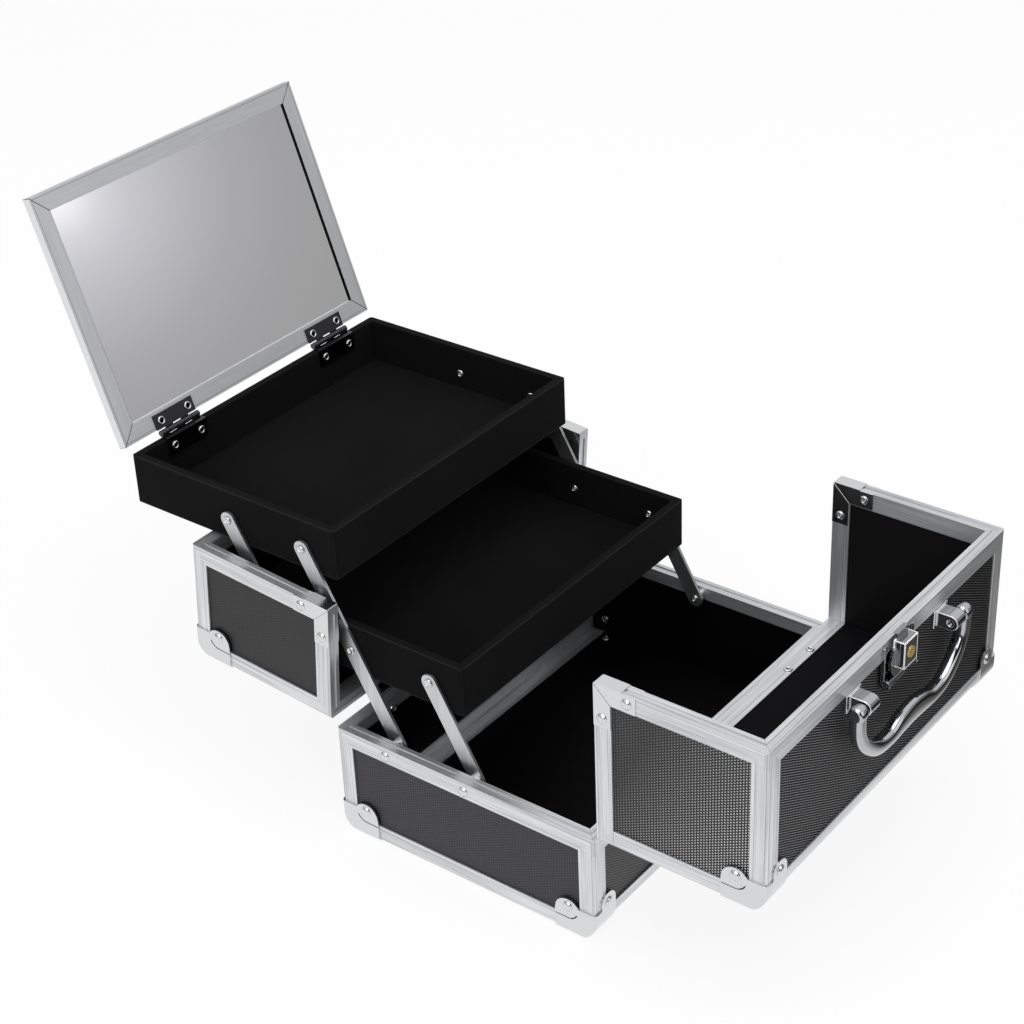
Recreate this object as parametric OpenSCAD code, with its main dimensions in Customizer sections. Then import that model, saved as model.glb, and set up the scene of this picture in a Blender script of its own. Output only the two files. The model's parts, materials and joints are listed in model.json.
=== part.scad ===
// Cosmetic case with a split lid, two cantilever trays and a folding mirror, shown open.
// Millimetres. +Z is up, -Y is the front, and the origin is the middle of the underside.

/* [Case] */
// Width of the case over its edge trims
case_w = 200; // [190:1:220]
// Depth of the case, front to back
case_d = 146; // [142:1:160]
// Height of the base up to its rim
base_h = 58; // [54:1:66]
// Height of both lid halves above the seam
lid_h = 84.4; // [80:0.2:95]
// Depth of the front half of the lid
front_lid_d = 82.7; // [78:0.1:86]
// Gap between the closed lid and the base
seam = 0.6; // [0.4:0.1:1]
// Gap between the two halves of the lid when closed
split_gap = 1.1; // [1:0.1:1.5]
// Thickness of the laminated wall panels
panel_t = 4.5; // [4:0.1:5]

/* [Edge trims] */
// Thickness of the aluminium edge trims
trim_t = 1; // [0.8:0.1:1.2]
// Width of the trims on each face
trim_w = 8.5; // [7.5:0.1:9]
// Outer radius of the long rounded edges
edge_r = 11.5; // [10:0.1:12]
// Width of the long rounded edges on each face
edge_w = 13.3; // [12.8:0.1:14]
// Thickness of the lips inside the case
lip_t = 0.8; // [0.6:0.1:1]
// Height of the inner lip of the base rim
base_lip_h = 7; // [5:0.5:8]
// Height of the inner lip of the lid rims
lid_lip_h = 9; // [7:0.5:9]
// Width of the groove in the rims
groove_w = 2; // [1.6:0.1:2.4]
// Depth of the groove in the rims
groove_h = 0.5; // [0.3:0.1:0.5]

/* [Corners] */
// Sheet thickness of the pressed ball corners
corner_t = 0.8; // [0.6:0.1:1]
// Reach of the ball corners along the sides of the case
corner_reach = 21.5; // [20:0.5:24]
// Reach of the ball corners along the front and rear
corner_reach_x = 14.7; // [14.5:0.1:17]
// Height of the ball corners between their ears
corner_h = 15; // [13:0.5:16]
// Sheet thickness of the corner plates
plate_t = 0.4; // [0.3:0.05:0.45]
// Length of each leg of the corner plates
plate_leg = 21; // [20:0.5:26]
// Radius of the rivet heads
rivet_head_r = 2.6; // [2.2:0.1:2.8]
// Height of the rivet heads
rivet_head_h = 1.2; // [1:0.1:1.4]
// Radius of the rivet shanks
rivet_r = 1.5; // [1.2:0.1:1.6]

/* [Trays] */
// Height of each tray
tray_h = 25.4; // [22:0.2:27]
// Thickness of the tray walls
tray_wall = 4; // [3:0.1:4.4]
// Thickness of the tray floors
tray_floor = 3; // [2.5:0.1:4]
// Gap from each tray end to the inside of the case
tray_end_gap = 3.2; // [3:0.1:4]
// Bay at each side of the trays for the arms
arm_bay = 5.7; // [5.5:0.1:7]
// Gap between the stacked trays
stack_gap = 0.9; // [0.7:0.1:1.4]
// How far forward of the lower tray the upper one stacks
stack_shift = 1.5; // [0.5:0.1:2]

/* [Arms] */
// Pivot spacing of the lower links
lower_link = 50.2; // [48:0.1:52]
// Gap between the underside of the upper tray and the open rear lid below it
tray_over_lid = 1.95; // [1.2:0.05:4]
// How far the arms lean back from upright when open
lean = 29.2; // [26:0.1:31]
// Spacing between the long and the short arms, as a share of the tray depth
arm_share = 0.359; // [0.33:0.001:0.38]
// Width of the arms
arm_w = 8.4; // [7:0.1:9]
// Thickness of the arms
arm_t = 1.5; // [1.2:0.1:1.8]
// Depth of the lowest pivots below the top of the base
base_pivot_drop = 4.8; // [4:0.1:6]
// Height of the pivots above the underside of the lower tray
lower_pivot_h = 12.8; // [12:0.1:14]
// Height of the pivots above the underside of the upper tray
upper_pivot_h = 11; // [10:0.1:12]
// Radial clearance of the pivots
pivot_fit = 0.06; // [0.03:0.01:0.09]

/* [Mirror] */
// Height of the mirror over its frame
mirror_h = 125.5; // [115:0.5:127]
// Width of the mirror frame bars
mirror_bar = 9; // [7:0.5:10]
// Thickness of the mirror with its frame
mirror_t = 4.6; // [4:0.1:5]
// Thickness of the glass
glass_t = 2; // [1.5:0.1:2.4]
// How far the mirror leans back past upright when open
mirror_lean = 19.5; // [10:0.5:25]
// Distance of each mirror hinge from the middle
mirror_hinge_x = 55; // [40:1:60]

/* [Hinges] */
// Distance of each front hinge from the middle
front_hinge_x = 56; // [45:1:65]
// Distance of each rear hinge from the middle
rear_hinge_x = 57; // [50:1:74]
// Knuckle radius of the front hinges
front_knuckle_r = 1.6; // [1.4:0.05:1.8]
// Knuckle radius of the rear hinges
rear_knuckle_r = 2.8; // [2:0.05:3]
// Opening angle of the front lid
front_open = 90; // [80:1:95]
// Opening angle of the rear lid
rear_open = 85.65; // [80:0.05:88]

/* [Handle and lock] */
// Sideways place of the handle on the front lid
handle_shift = 3; // [-4:0.5:4]
// Sideways place of the lock on the front lid
lock_shift = 0.5; // [-4:0.5:4]
// Distance of the handle brackets from the middle
bracket_x = 37.5; // [34:0.5:44]
// Place of the handle axis on the front lid, from its hinged side
handle_u = 69.5; // [60:0.5:71]
// Height of the handle axis above the lid
handle_rise = 7; // [6:0.1:10]
// Depth of the handle loop below its axis
handle_drop = 26; // [24:0.5:34]
// Thickness of the handle bar
handle_t = 6.6; // [5:0.1:7]
// Width of the lock plate
lock_w = 25; // [22:0.5:28]
// Length of the lock plate
lock_l = 24; // [22:0.5:26]
// Width of the lock box
lock_box_w = 11; // [9:0.5:13]
// Length of the lock box
lock_box_l = 13; // [12:0.5:18]
// Radius of the key cylinder
key_r = 2.7; // [2:0.1:3.2]

/* [Hidden] */

$fn = 48;
panel_black = "#1c1c1f";
lining_black = "#101012";
aluminium = "#c9cbcd";
chrome = "#b4b6b9";
brass = "#c8a24c";

// Faces that meet on one body are set apart by this where they would otherwise share an edge
fit = 0.05;
// Overlap of a cutting shape past the face that it cuts
over = 1;
wall = trim_t + panel_t + lip_t;
skin = trim_t + panel_t;
rear_lid_d = case_d - front_lid_d - split_gap;
// The trims of the base start above the ears of the ball corners, which the case stands on
foot_z = corner_t;
base_env_h = base_h - foot_z;
edge_slot = edge_w - 4.3;
mitre_kerf = 0.08;
trim_r = 1.5;
rivet_bore_r = rivet_r + fit;
rivet_tail_h = 0.7;
rivet_tail_r = rivet_r + 0.7;

// Rivets of a ball corner, from the corner point: in the middle of the side ear, and on the other two
ear_rivet_side = 14.5;
ear_rivet_x = 9.5;
ear_rivet_along = 17.5;
// Rivets of a corner plate, along each leg
plate_rivet = 16.5;

// Hinge pins
knuckle_gap = 0.1;
pin_z = base_h + seam / 2;

// Trays
tray_w = case_w - 2 * (wall + arm_bay);
tray_d = case_d - 2 * (wall + tray_end_gap);
tray_r = 1.6;
washer_t = 0.6;
arm_in = tray_w / 2 + washer_t;
arm_out = arm_in + arm_t;

// The upper links bring the upper tray just above the highest edge of the open rear lid
base_pivot_z = base_h - base_pivot_drop;
rear_lid_top_z = pin_z + (rear_lid_d + rear_knuckle_r + knuckle_gap) * sin(rear_open)
  + (lid_h + seam / 2) * cos(rear_open);
upper_link = (rear_lid_top_z + tray_over_lid + upper_pivot_h - base_pivot_z) / cos(lean) - lower_link;
arm_gap = arm_share * tray_d;

// The arms fold forward until the trays lie stacked, and then the lower tray is centred
fold_forward = acos((tray_h + stack_gap + upper_pivot_h - lower_pivot_h) / upper_link);
base_b = [lower_link * sin(fold_forward), base_pivot_z];
base_c = base_b - [arm_gap, 0];
lean_dir = [sin(lean), cos(lean)];
low_b = base_b + lower_link * lean_dir;
low_c = base_c + lower_link * lean_dir;
low_a = low_b + [arm_gap, 0];
up_b = low_b + upper_link * lean_dir;
up_a = low_a + upper_link * lean_dir;
lower_tray_y = low_b[0];
lower_tray_z = low_b[1] - lower_pivot_h;
upper_tray_y = up_b[0] + (lower_link + upper_link) * sin(fold_forward) - base_b[0] - stack_shift;
upper_tray_z = up_b[1] - upper_pivot_h;

// Hinges
hinge_leaf_t = 0.8;
hinge_leaf_h = 10;
hinge_w = 30;
hinge_gap = 0.3;
leaf_rivet_v = 6.3;
leaf_rivet_x = 10;
front_pin = [-case_d / 2 - front_knuckle_r - knuckle_gap, pin_z];
rear_pin = [case_d / 2 + rear_knuckle_r + knuckle_gap, pin_z];

// Mirror
mirror_w = tray_w + 1.6;
mirror_rabbet = 3;
mirror_knuckle_r = 1.5;
mirror_hinge_w = 26;
mirror_leaf_h = 9;
mirror_leaf_t = 0.8;
mirror_pin_gap = 0.3;
mirror_pin = [
  upper_tray_y + tray_d / 2 + 0.3,
  upper_tray_z + tray_h + mirror_knuckle_r + mirror_pin_gap
];
mirror_foot = 2;
mirror_rivet_x = 9;

// Handle and lock
handle_pin_r = 1.5;
bracket_w = 7.8;
bracket_l = 13;
bracket_t = 1.4;
handle_x = bracket_x + bracket_w / 2 + 0.6 + handle_t / 2;
lock_plate_t = 1;
lever_rise = 2.4;
lever_t = 1.4;
lever_pin_r = 0.9;
lock_box_t = 4.2;
lock_end = front_lid_d - 1.2;
lock_start = lock_end - lock_l;
lever_back = 6;
lever_start = lock_start + lever_back;
// The lever's plate reaches over the split, and its box ends at the lid's edge
lever_over = 3;
lever_reach = front_lid_d + lever_over - lever_start;
lock_box_end = front_lid_d - 0.2 - lever_start;
hook_t = 0.7;
hook_w = 9;
hook_low = 0.9;
strike_t = 0.6;

// ---------- helpers ----------

// A drawing of depth and height, made solid between two places along X
module along_x(x0, x1) {
  translate([x0, 0, 0]) rotate([90, 0, 90]) linear_extrude(x1 - x0) children();
}

// A drawing of width and height, made solid between two places along Y
module along_y(y0, y1) {
  translate([0, y1, 0]) rotate([90, 0, 0]) linear_extrude(y1 - y0) children();
}

// Children at the left and, mirrored, at the right
module both_sides() {
  children();
  mirror([1, 0, 0]) children();
}

// Children at the front and, mirrored, at the back
module both_ends() {
  children();
  mirror([0, 1, 0]) children();
}

// Rectangle from the origin whose corner there is rounded
module rounded_corner(w, h, r) {
  translate([r, 0]) square([w - r, h]);
  translate([0, r]) square([w, h - r]);
  intersection() {
    translate([r, r]) circle(r);
    square(r);
  }
}

// Section of the angle trims, with its corner at the origin
module angle_section() {
  difference() {
    rounded_corner(trim_w, trim_w, trim_r);
    translate([trim_t, trim_t]) square(trim_w);
  }
}

// Section of the long rounded edges: it grips both panels and shows a lip inside
module long_edge_section() {
  difference() {
    rounded_corner(edge_w, edge_w, edge_r);
    translate([wall, wall]) square(edge_w);
    translate([trim_t, edge_slot]) square([panel_t, edge_w]);
    translate([edge_slot, trim_t]) square([edge_w, panel_t]);
  }
}

// Rivet along +Z with its head on z = 0 and its tail grip below
module rivet(grip, tail = true) {
  rotate_extrude() intersection() {
    translate([0, rivet_head_h - dome_r()]) circle(dome_r());
    square([rivet_head_r, rivet_head_h]);
  }
  translate([0, 0, -grip]) cylinder(h = grip, r = rivet_r);
  if (tail) translate([0, 0, -grip - rivet_tail_h]) cylinder(h = rivet_tail_h, r = rivet_tail_r);
}
function dome_r() = (rivet_head_r * rivet_head_r + rivet_head_h * rivet_head_h) / (2 * rivet_head_h);

// Rivet whose head lies flush in a sheet
module flush_rivet(grip) {
  translate([0, 0, -corner_t]) cylinder(h = corner_t, r = rivet_head_r);
  translate([0, 0, -grip]) cylinder(h = grip, r = rivet_r);
  translate([0, 0, -grip - rivet_tail_h]) cylinder(h = rivet_tail_h, r = rivet_tail_r);
}

module rivet_bore(grip) {
  translate([0, 0, -grip - over]) cylinder(h = grip + 2 * over, r = rivet_bore_r);
}

// A pressed ball corner at the origin, with its ears along +X, +Y and +Z
module ball_corner() {
  slit_z = 7.6;
  slit_h = 0.6;
  slit_r = 5.6;
  slit_rise = 3.6;
  difference() {
    intersection() {
      translate(-corner_t * [1, 1, 1]) corner_block(corner_t);
      union() {
        along_x(-2 * corner_t, trim_r + corner_t) side_ear();
        translate([0, edge_r]) rotate([90, 0, 0]) linear_extrude(edge_r + 2 * corner_t) end_ear();
        translate([0, 0, -2 * corner_t]) linear_extrude(edge_r + 2 * corner_t) foot_ear();
      }
    }
    corner_block(0);
    ear_places() rivet_bore(wall);
    along_x(-2 * corner_t, over) translate([ear_rivet_side, slit_z]) {
      square([corner_reach - ear_rivet_side + over, slit_h]);
      intersection() {
        translate([0, slit_r]) difference() {
          circle(slit_r);
          circle(slit_r - slit_h);
        }
        translate([-2 * slit_r, 0]) square([2 * slit_r + over, slit_rise]);
      }
    }
  }
}

// Outlines of the three faces of a ball corner: side, front or rear, and underside
module side_ear() {
  ear_r = 6.8;
  sill = 8;
  from = -2 * corner_t;
  translate([from, from]) square([corner_reach - from, sill - from]);
  translate([from, from]) square([sill + 1 - from, corner_h - from]);
  translate([ear_rivet_side, ear_rivet_side - 2.9]) circle(ear_r);
}

module end_ear() {
  from = -2 * corner_t;
  translate([from, from]) square([corner_reach_x - from, corner_h - from]);
  hull() {
    translate([ear_rivet_x, ear_rivet_along]) circle(corner_reach_x - ear_rivet_x);
    translate([ear_rivet_x, corner_h - 4]) circle(corner_reach_x - ear_rivet_x);
  }
}

module foot_ear() {
  from = -2 * corner_t;
  translate([from, from]) square([corner_reach_x - from, corner_reach - from]);
}

// The corner of the case, swollen by a sheet thickness
module corner_block(swell) {
  size = corner_reach + 4;
  r = trim_r + swell;
  intersection() {
    along_x(0, size) rounded_corner(size, size, edge_r + swell);
    linear_extrude(size) rounded_corner(size, size, r);
    along_y(0, size) rounded_corner(size, size, r);
  }
}

// The outside of each ear of a ball corner, with +Z pointing out
module ear_places() {
  translate([-corner_t, ear_rivet_side, ear_rivet_side]) rotate([0, -90, 0]) children();
  translate([ear_rivet_x, -corner_t, ear_rivet_along]) rotate([90, 0, 0]) children();
}

module third_ear_place() {
  translate([ear_rivet_x, ear_rivet_along, -corner_t]) rotate([180, 0, 0]) children();
}

// One hinge with its pin along X at the origin. The leaf hangs down the face at y = inset.
module hinge_leaf(knuckle_r, pin_r, inset, knuckles) {
  step = hinge_w / 5;
  difference() {
    union() {
      translate([-hinge_w / 2, inset - hinge_leaf_t, -hinge_leaf_h - seam / 2])
        cube([hinge_w, hinge_leaf_t, hinge_leaf_h + seam / 2 - knuckle_r - hinge_gap]);
      for (k = knuckles) {
        x = -hinge_w / 2 + k * step + hinge_gap / 2;
        translate([x, 0, 0]) rotate([0, 90, 0]) cylinder(h = step - hinge_gap, r = knuckle_r);
        translate([x, inset - hinge_leaf_t, -knuckle_r - 2 * hinge_gap])
          cube([step - hinge_gap, hinge_leaf_t, knuckle_r + 2 * hinge_gap]);
      }
    }
    if (pin_r > 0) translate([-hinge_w, 0, 0]) rotate([0, 90, 0])
      cylinder(h = 2 * hinge_w, r = pin_r + pivot_fit);
    both_sides() translate([leaf_rivet_x, inset - hinge_leaf_t, -leaf_rivet_v - seam / 2])
      rotate([90, 0, 0]) rivet_bore(wall);
  }
}

// ---------- base ----------

// Each corner of the base, in the corner's own directions
module base_corners() {
  both_sides() both_ends() translate([-case_w / 2, -case_d / 2, foot_z]) children();
}

// The hinge rivets of the base, with +Z pointing out
module base_hinge_rivet_places() {
  for (h = [[-1, front_hinge_x], [1, rear_hinge_x]]) for (x = [-leaf_rivet_x, leaf_rivet_x])
    both_sides() translate([h[1] + x, h[0] * (case_d / 2 + hinge_leaf_t), base_h - leaf_rivet_v])
      rotate([-h[0] * 90, 0, 0]) children();
}

module base_bores() {
  base_corners() ear_places() rivet_bore(wall);
  base_hinge_rivet_places() rivet_bore(wall + over);
  base_corners() third_ear_place() rivet_bore(wall);
  base_pivot_places() translate([0, 0, -wall]) cylinder(h = wall + over, r = rivet_bore_r);
}

// The outside of the base wall at each of its four arm pivots, with +Z pointing out
module base_pivot_places() {
  for (p = [base_b, base_c])
    both_sides() translate([-case_w / 2, p[0], p[1]]) rotate([0, -90, 0]) children();
}

module base_floor() {
  run = case_w / 2 - skin;
  field_x = case_w / 2 - trim_w - 0.4;
  field_y = case_d / 2 - edge_w - 0.4;
  color(panel_black) difference() {
    union() {
      translate([-run, -case_d / 2 + edge_slot + fit, foot_z + trim_t])
        cube([2 * run, case_d - 2 * (edge_slot + fit), panel_t]);
      difference() {
        translate([-field_x, -field_y, 0]) cube([2 * field_x, 2 * field_y, foot_z + trim_t]);
        both_sides() both_ends() translate([-case_w / 2, -case_d / 2, -over])
          cube([corner_reach_x + 0.4, corner_reach + 0.4, foot_z + trim_t + over]);
      }
    }
    base_bores();
  }
}

module base_end_wall(side) {
  run = case_w / 2 - skin;
  low = foot_z + edge_slot + fit;
  color(panel_black) difference() {
    translate([-run, side > 0 ? case_d / 2 - skin : -case_d / 2 + trim_t, low])
      cube([2 * run, panel_t, base_h - trim_t - low]);
    base_bores();
  }
}
module base_front_wall() { base_end_wall(-1); }
module base_rear_wall() { base_end_wall(1); }

module base_side_wall() {
  half = case_d / 2 - trim_t;
  height = base_env_h - 2 * trim_t;
  color(panel_black) difference() {
    along_x(-case_w / 2 + trim_t, -case_w / 2 + skin) translate([0, foot_z + trim_t]) {
      translate([-half, 0]) rounded_corner(half, height, edge_r - trim_t);
      mirror([1, 0]) translate([-half, 0]) rounded_corner(half, height, edge_r - trim_t);
    }
    base_bores();
  }
}
module base_left_wall() { base_side_wall(); }
module base_right_wall() { mirror([1, 0, 0]) base_side_wall(); }

// Channel rim in four mitred lengths, with a groove along its top
module base_rim() {
  color(aluminium) difference() {
    union() {
      difference() {
        rim_block(0, trim_r, base_h - trim_w, base_h);
        rim_block(trim_t, 0, 0, base_h - trim_t);
      }
      rim_block(skin, 0, base_h - base_lip_h, base_h - trim_t / 2);
    }
    rim_block(wall, 0, 0, base_h + over);
    difference() {
      rim_block((wall - groove_w) / 2, 0, base_h - groove_h, base_h + over);
      rim_block((wall + groove_w) / 2, 0, 0, base_h + 2 * over);
    }
    both_sides() both_ends() translate([-case_w / 2, -case_d / 2, base_h - trim_w - over])
      mitre_cut(trim_w + 2 * over);
    base_bores();
  }
}

// Block of the base's plan, drawn in by inset, between two heights
module rim_block(inset, r, z0, z1) {
  translate([0, 0, z0]) linear_extrude(z1 - z0)
    rounded_plate(case_w - 2 * inset, case_d - 2 * inset, r);
}

// Rectangle about the origin with rounded corners
module rounded_plate(w, d, r) {
  square([w - 2 * r, d], center = true);
  square([w, d - 2 * r], center = true);
  if (r > 0) for (a = [-1, 1]) for (b = [-1, 1])
    translate([a * (w / 2 - r), b * (d / 2 - r)]) circle(r);
}

// The cut between two mitred lengths, along the diagonal of +X and +Y
module mitre_cut(height) {
  rotate([0, 0, 45]) translate([-over, -mitre_kerf / 2, 0])
    cube([2 * (wall + lid_lip_h), mitre_kerf, height]);
}

module base_long_edges() {
  run = case_w / 2 - skin;
  color(aluminium) difference() {
    both_ends() along_x(-run, run) translate([-case_d / 2, foot_z]) long_edge_section();
    base_bores();
  }
}

module base_side_edges() {
  half = case_d / 2 - edge_w;
  color(aluminium) difference() {
    both_sides() along_y(-half, half) translate([-case_w / 2, foot_z]) angle_section();
    base_bores();
  }
}

module base_corner_posts() {
  low = foot_z + edge_w;
  color(aluminium) difference() {
    both_sides() both_ends() translate([-case_w / 2, -case_d / 2, low])
      linear_extrude(base_h - trim_w - low) angle_section();
    base_bores();
  }
}

module base_ball_corners() {
  color(chrome) base_corners() difference() {
    ball_corner();
    third_ear_place() translate([0, 0, -corner_t - over]) cylinder(h = 3 * over, r = rivet_head_r + fit);
  }
}

module base_rivets() {
  color(chrome) {
    base_corners() ear_places() rivet(corner_t + skin);
    base_corners() third_ear_place() flush_rivet(corner_t + skin);
    base_hinge_rivet_places() rivet(hinge_leaf_t + wall);
  }
}

// Pivots of the lowest links: a rivet through the wall, a spacer and an inner head
module base_pivot_rivets() {
  reach = case_w / 2 - arm_in + 0.1;
  spacer_in = case_w / 2 - arm_out - 0.1;
  color(chrome) base_pivot_places() {
    rivet(reach, tail = false);
    translate([0, 0, -spacer_in]) cylinder(h = spacer_in - wall, r = arm_w / 2 - 0.6);
    translate([0, 0, -reach - rivet_tail_h]) cylinder(h = rivet_tail_h, r = rivet_tail_r + 0.3);
  }
}

// ---------- lid halves ----------
// Each half is drawn closed: x across, y from its hinged side, and z up from the seam.

module front_lid_place() {
  translate([0, front_pin[0], front_pin[1]]) rotate([front_open, 0, 0])
    translate([0, -case_d / 2 - front_pin[0], base_h + seam - front_pin[1]]) children();
}

module rear_lid_place() {
  translate([0, rear_pin[0], rear_pin[1]]) rotate([-rear_open, 0, 0])
    translate([0, case_d / 2 - rear_pin[0], base_h + seam - rear_pin[1]]) mirror([0, 1, 0]) children();
}

// Full block of a lid half with its upright and upper edges eased
module lid_block(depth) {
  intersection() {
    linear_extrude(lid_h) both_sides() translate([-case_w / 2, 0])
      rounded_corner(case_w / 2, depth, trim_r);
    along_y(0, depth) both_sides() translate([-case_w / 2, lid_h]) mirror([0, 1])
      rounded_corner(case_w / 2, lid_h, trim_r);
  }
}

// A block across the lid, drawn in at the sides by inset
module lid_slab(inset, y0, y1, z0, z1) {
  translate([inset - case_w / 2, y0, z0]) cube([case_w - 2 * inset, y1 - y0, z1 - z0]);
}

// Rivets through the walls of a lid half
module lid_rivet_places(depth, hinge_x) {
  lid_corners() ear_places() children();
  lid_corners() third_ear_place() children();
  plate_rivet_places(depth) children();
  lid_hinge_rivet_places(hinge_x) children();
}

module lid_corners() {
  both_sides() translate([-case_w / 2, 0, lid_h]) mirror([0, 0, 1]) children();
}

module plate_rivet_places(depth) {
  both_sides() for (p = [[trim_w / 2, plate_rivet], [plate_rivet, trim_w / 2]])
    translate([-case_w / 2 - plate_t, depth - p[0], p[1]]) rotate([0, -90, 0]) children();
}

module lid_hinge_rivet_places(hinge_x) {
  both_sides() for (x = [-leaf_rivet_x, leaf_rivet_x])
    translate([hinge_x + x, -hinge_leaf_t, leaf_rivet_v]) rotate([90, 0, 0]) children();
}

module lid_bores(depth, hinge_x) {
  lid_rivet_places(depth, hinge_x) rivet_bore(wall + over);
}

module lid_wall(depth, hinge_x) {
  color(panel_black) difference() {
    lid_slab(skin, trim_t, skin, trim_t, lid_h - edge_slot - fit);
    lid_bores(depth, hinge_x);
  }
}

module lid_top(depth, hinge_x) {
  color(panel_black) difference() {
    lid_slab(skin, edge_slot + fit, depth - trim_t, lid_h - skin, lid_h - trim_t);
    lid_bores(depth, hinge_x);
  }
}

module lid_left_side(depth, hinge_x) {
  color(panel_black) difference() {
    along_x(trim_t - case_w / 2, skin - case_w / 2) translate([trim_t, lid_h - trim_t]) mirror([0, 1])
      rounded_corner(depth - 2 * trim_t, lid_h - 2 * trim_t, edge_r - trim_t);
    lid_bores(depth, hinge_x);
  }
}

// Channel rim along the seam and the split, mitred at its corners
module lid_rim(depth, hinge_x) {
  color(aluminium) difference() {
    union() {
      difference() {
        lid_block(depth);
        lid_slab(trim_t, trim_t, depth - trim_t, trim_t, lid_h - trim_t);
        lid_slab(-over, -over, depth - trim_w, trim_w, lid_h + over);
      }
      difference() {
        lid_slab(skin, skin, depth - trim_t / 2, trim_t / 2, lid_h - skin);
        lid_slab(-over, -over, depth - lid_lip_h, lid_lip_h, lid_h + over);
      }
    }
    lid_slab(wall, wall, depth + over, -over, lid_h - wall);
    lid_grooves(depth);
    lid_mitres(depth);
    lid_bores(depth, hinge_x);
  }
}

module lid_grooves(depth) {
  near = (wall - groove_w) / 2;
  far = near + groove_w;
  difference() {
    lid_slab(near, near, depth - far, -over, groove_h);
    lid_slab(far, far, depth, -2 * over, over);
  }
  difference() {
    lid_slab(near, depth - groove_h, depth + over, far, lid_h - near);
    lid_slab(far, depth - over, depth + 2 * over, 0, lid_h - far);
  }
}

module lid_mitres(depth) {
  both_sides() {
    translate([-case_w / 2, 0, -over]) mitre_cut(lid_lip_h + 2 * over);
    translate([-case_w / 2, depth + over, lid_h]) rotate([90, 0, 0]) mirror([0, 1, 0])
      mitre_cut(lid_lip_h + 2 * over);
    translate([-case_w / 2 - over, depth, 0]) rotate([90, 0, 90]) mirror([1, 0, 0])
      mitre_cut(wall + 2 * over);
  }
}

module lid_long_edge(depth, hinge_x) {
  color(aluminium) difference() {
    along_x(skin - case_w / 2, case_w / 2 - skin) translate([0, lid_h]) mirror([0, 1])
      long_edge_section();
    lid_bores(depth, hinge_x);
  }
}

module lid_edge_trims(depth, hinge_x) {
  color(aluminium) difference() {
    both_sides() {
      translate([-case_w / 2, 0, trim_w]) linear_extrude(lid_h - edge_w - trim_w) angle_section();
      along_y(edge_w, depth - trim_w) translate([-case_w / 2, lid_h]) mirror([0, 1]) angle_section();
    }
    lid_bores(depth, hinge_x);
  }
}

module lid_ball_corners() {
  color(chrome) lid_corners() difference() {
    mirror([0, 1, -1]) ball_corner();
    ear_places() rivet_bore(wall);
  }
}

// Folded corner plate: an angle outside, one inside, and a tongue over the rim between them
module lid_corner_plates(depth, hinge_x) {
  tongue_low = 0.6;
  tongue_high = plate_rivet - rivet_head_r;
  x_out = -case_w / 2 - plate_t;
  x_in = wall - case_w / 2;
  color(chrome) difference() {
    both_sides() {
      for (x = [x_out, x_in]) along_x(x, x + plate_t) {
        translate([depth - trim_w, 0]) square([trim_w, plate_leg]);
        translate([depth - plate_leg, 0]) square([plate_leg, trim_w]);
        translate([depth - over, tongue_low]) square([over + plate_t, tongue_high - tongue_low]);
      }
      translate([x_out, depth, tongue_low])
        cube([wall + 2 * plate_t, plate_t, tongue_high - tongue_low]);
    }
    lid_bores(depth, hinge_x);
  }
}

module lid_rivets(depth, hinge_x) {
  color(chrome) {
    lid_corners() ear_places() rivet(corner_t + skin);
    lid_corners() third_ear_place() rivet(corner_t + skin);
    plate_rivet_places(depth) rivet(wall + 2 * plate_t);
    lid_hinge_rivet_places(hinge_x) rivet(hinge_leaf_t + wall);
  }
}

module lid_hinge_leaves(knuckle_r, hinge_x) {
  color(chrome) both_sides()
    translate([hinge_x, -knuckle_r - knuckle_gap, -seam / 2]) mirror([0, 0, 1])
      hinge_leaf(knuckle_r, knuckle_r / 2, knuckle_r + knuckle_gap, [1, 3]);
}

module base_hinge_leaves(knuckle_r, hinge_x) {
  color(chrome) both_sides() translate([hinge_x, -case_d / 2 - knuckle_r - knuckle_gap, pin_z]) {
    hinge_leaf(knuckle_r, 0, knuckle_r + knuckle_gap, [0, 2, 4]);
    translate([-hinge_w / 2 + 1, 0, 0]) rotate([0, 90, 0]) cylinder(h = hinge_w - 2, r = knuckle_r / 2);
  }
}
module front_hinge_base_leaves() { base_hinge_leaves(front_knuckle_r, front_hinge_x); }
module rear_hinge_base_leaves() { mirror([0, 1, 0]) base_hinge_leaves(rear_knuckle_r, rear_hinge_x); }

module front_lid_wall() { front_lid_place() lid_wall(front_lid_d, front_hinge_x); }
module front_lid_top() { front_lid_place() lid_top(front_lid_d, front_hinge_x); }
module front_lid_left_side() { front_lid_place() lid_left_side(front_lid_d, front_hinge_x); }
module front_lid_right_side() {
  front_lid_place() mirror([1, 0, 0]) lid_left_side(front_lid_d, front_hinge_x);
}
module front_lid_rim() { front_lid_place() lid_rim(front_lid_d, front_hinge_x); }
module front_lid_long_edge() { front_lid_place() lid_long_edge(front_lid_d, front_hinge_x); }
module front_lid_edge_trims() { front_lid_place() lid_edge_trims(front_lid_d, front_hinge_x); }
module front_lid_ball_corners() { front_lid_place() lid_ball_corners(); }
module front_lid_corner_plates() { front_lid_place() lid_corner_plates(front_lid_d, front_hinge_x); }
module front_lid_rivets() { front_lid_place() lid_rivets(front_lid_d, front_hinge_x); }
module front_hinge_lid_leaves() { front_lid_place() lid_hinge_leaves(front_knuckle_r, front_hinge_x); }

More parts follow.
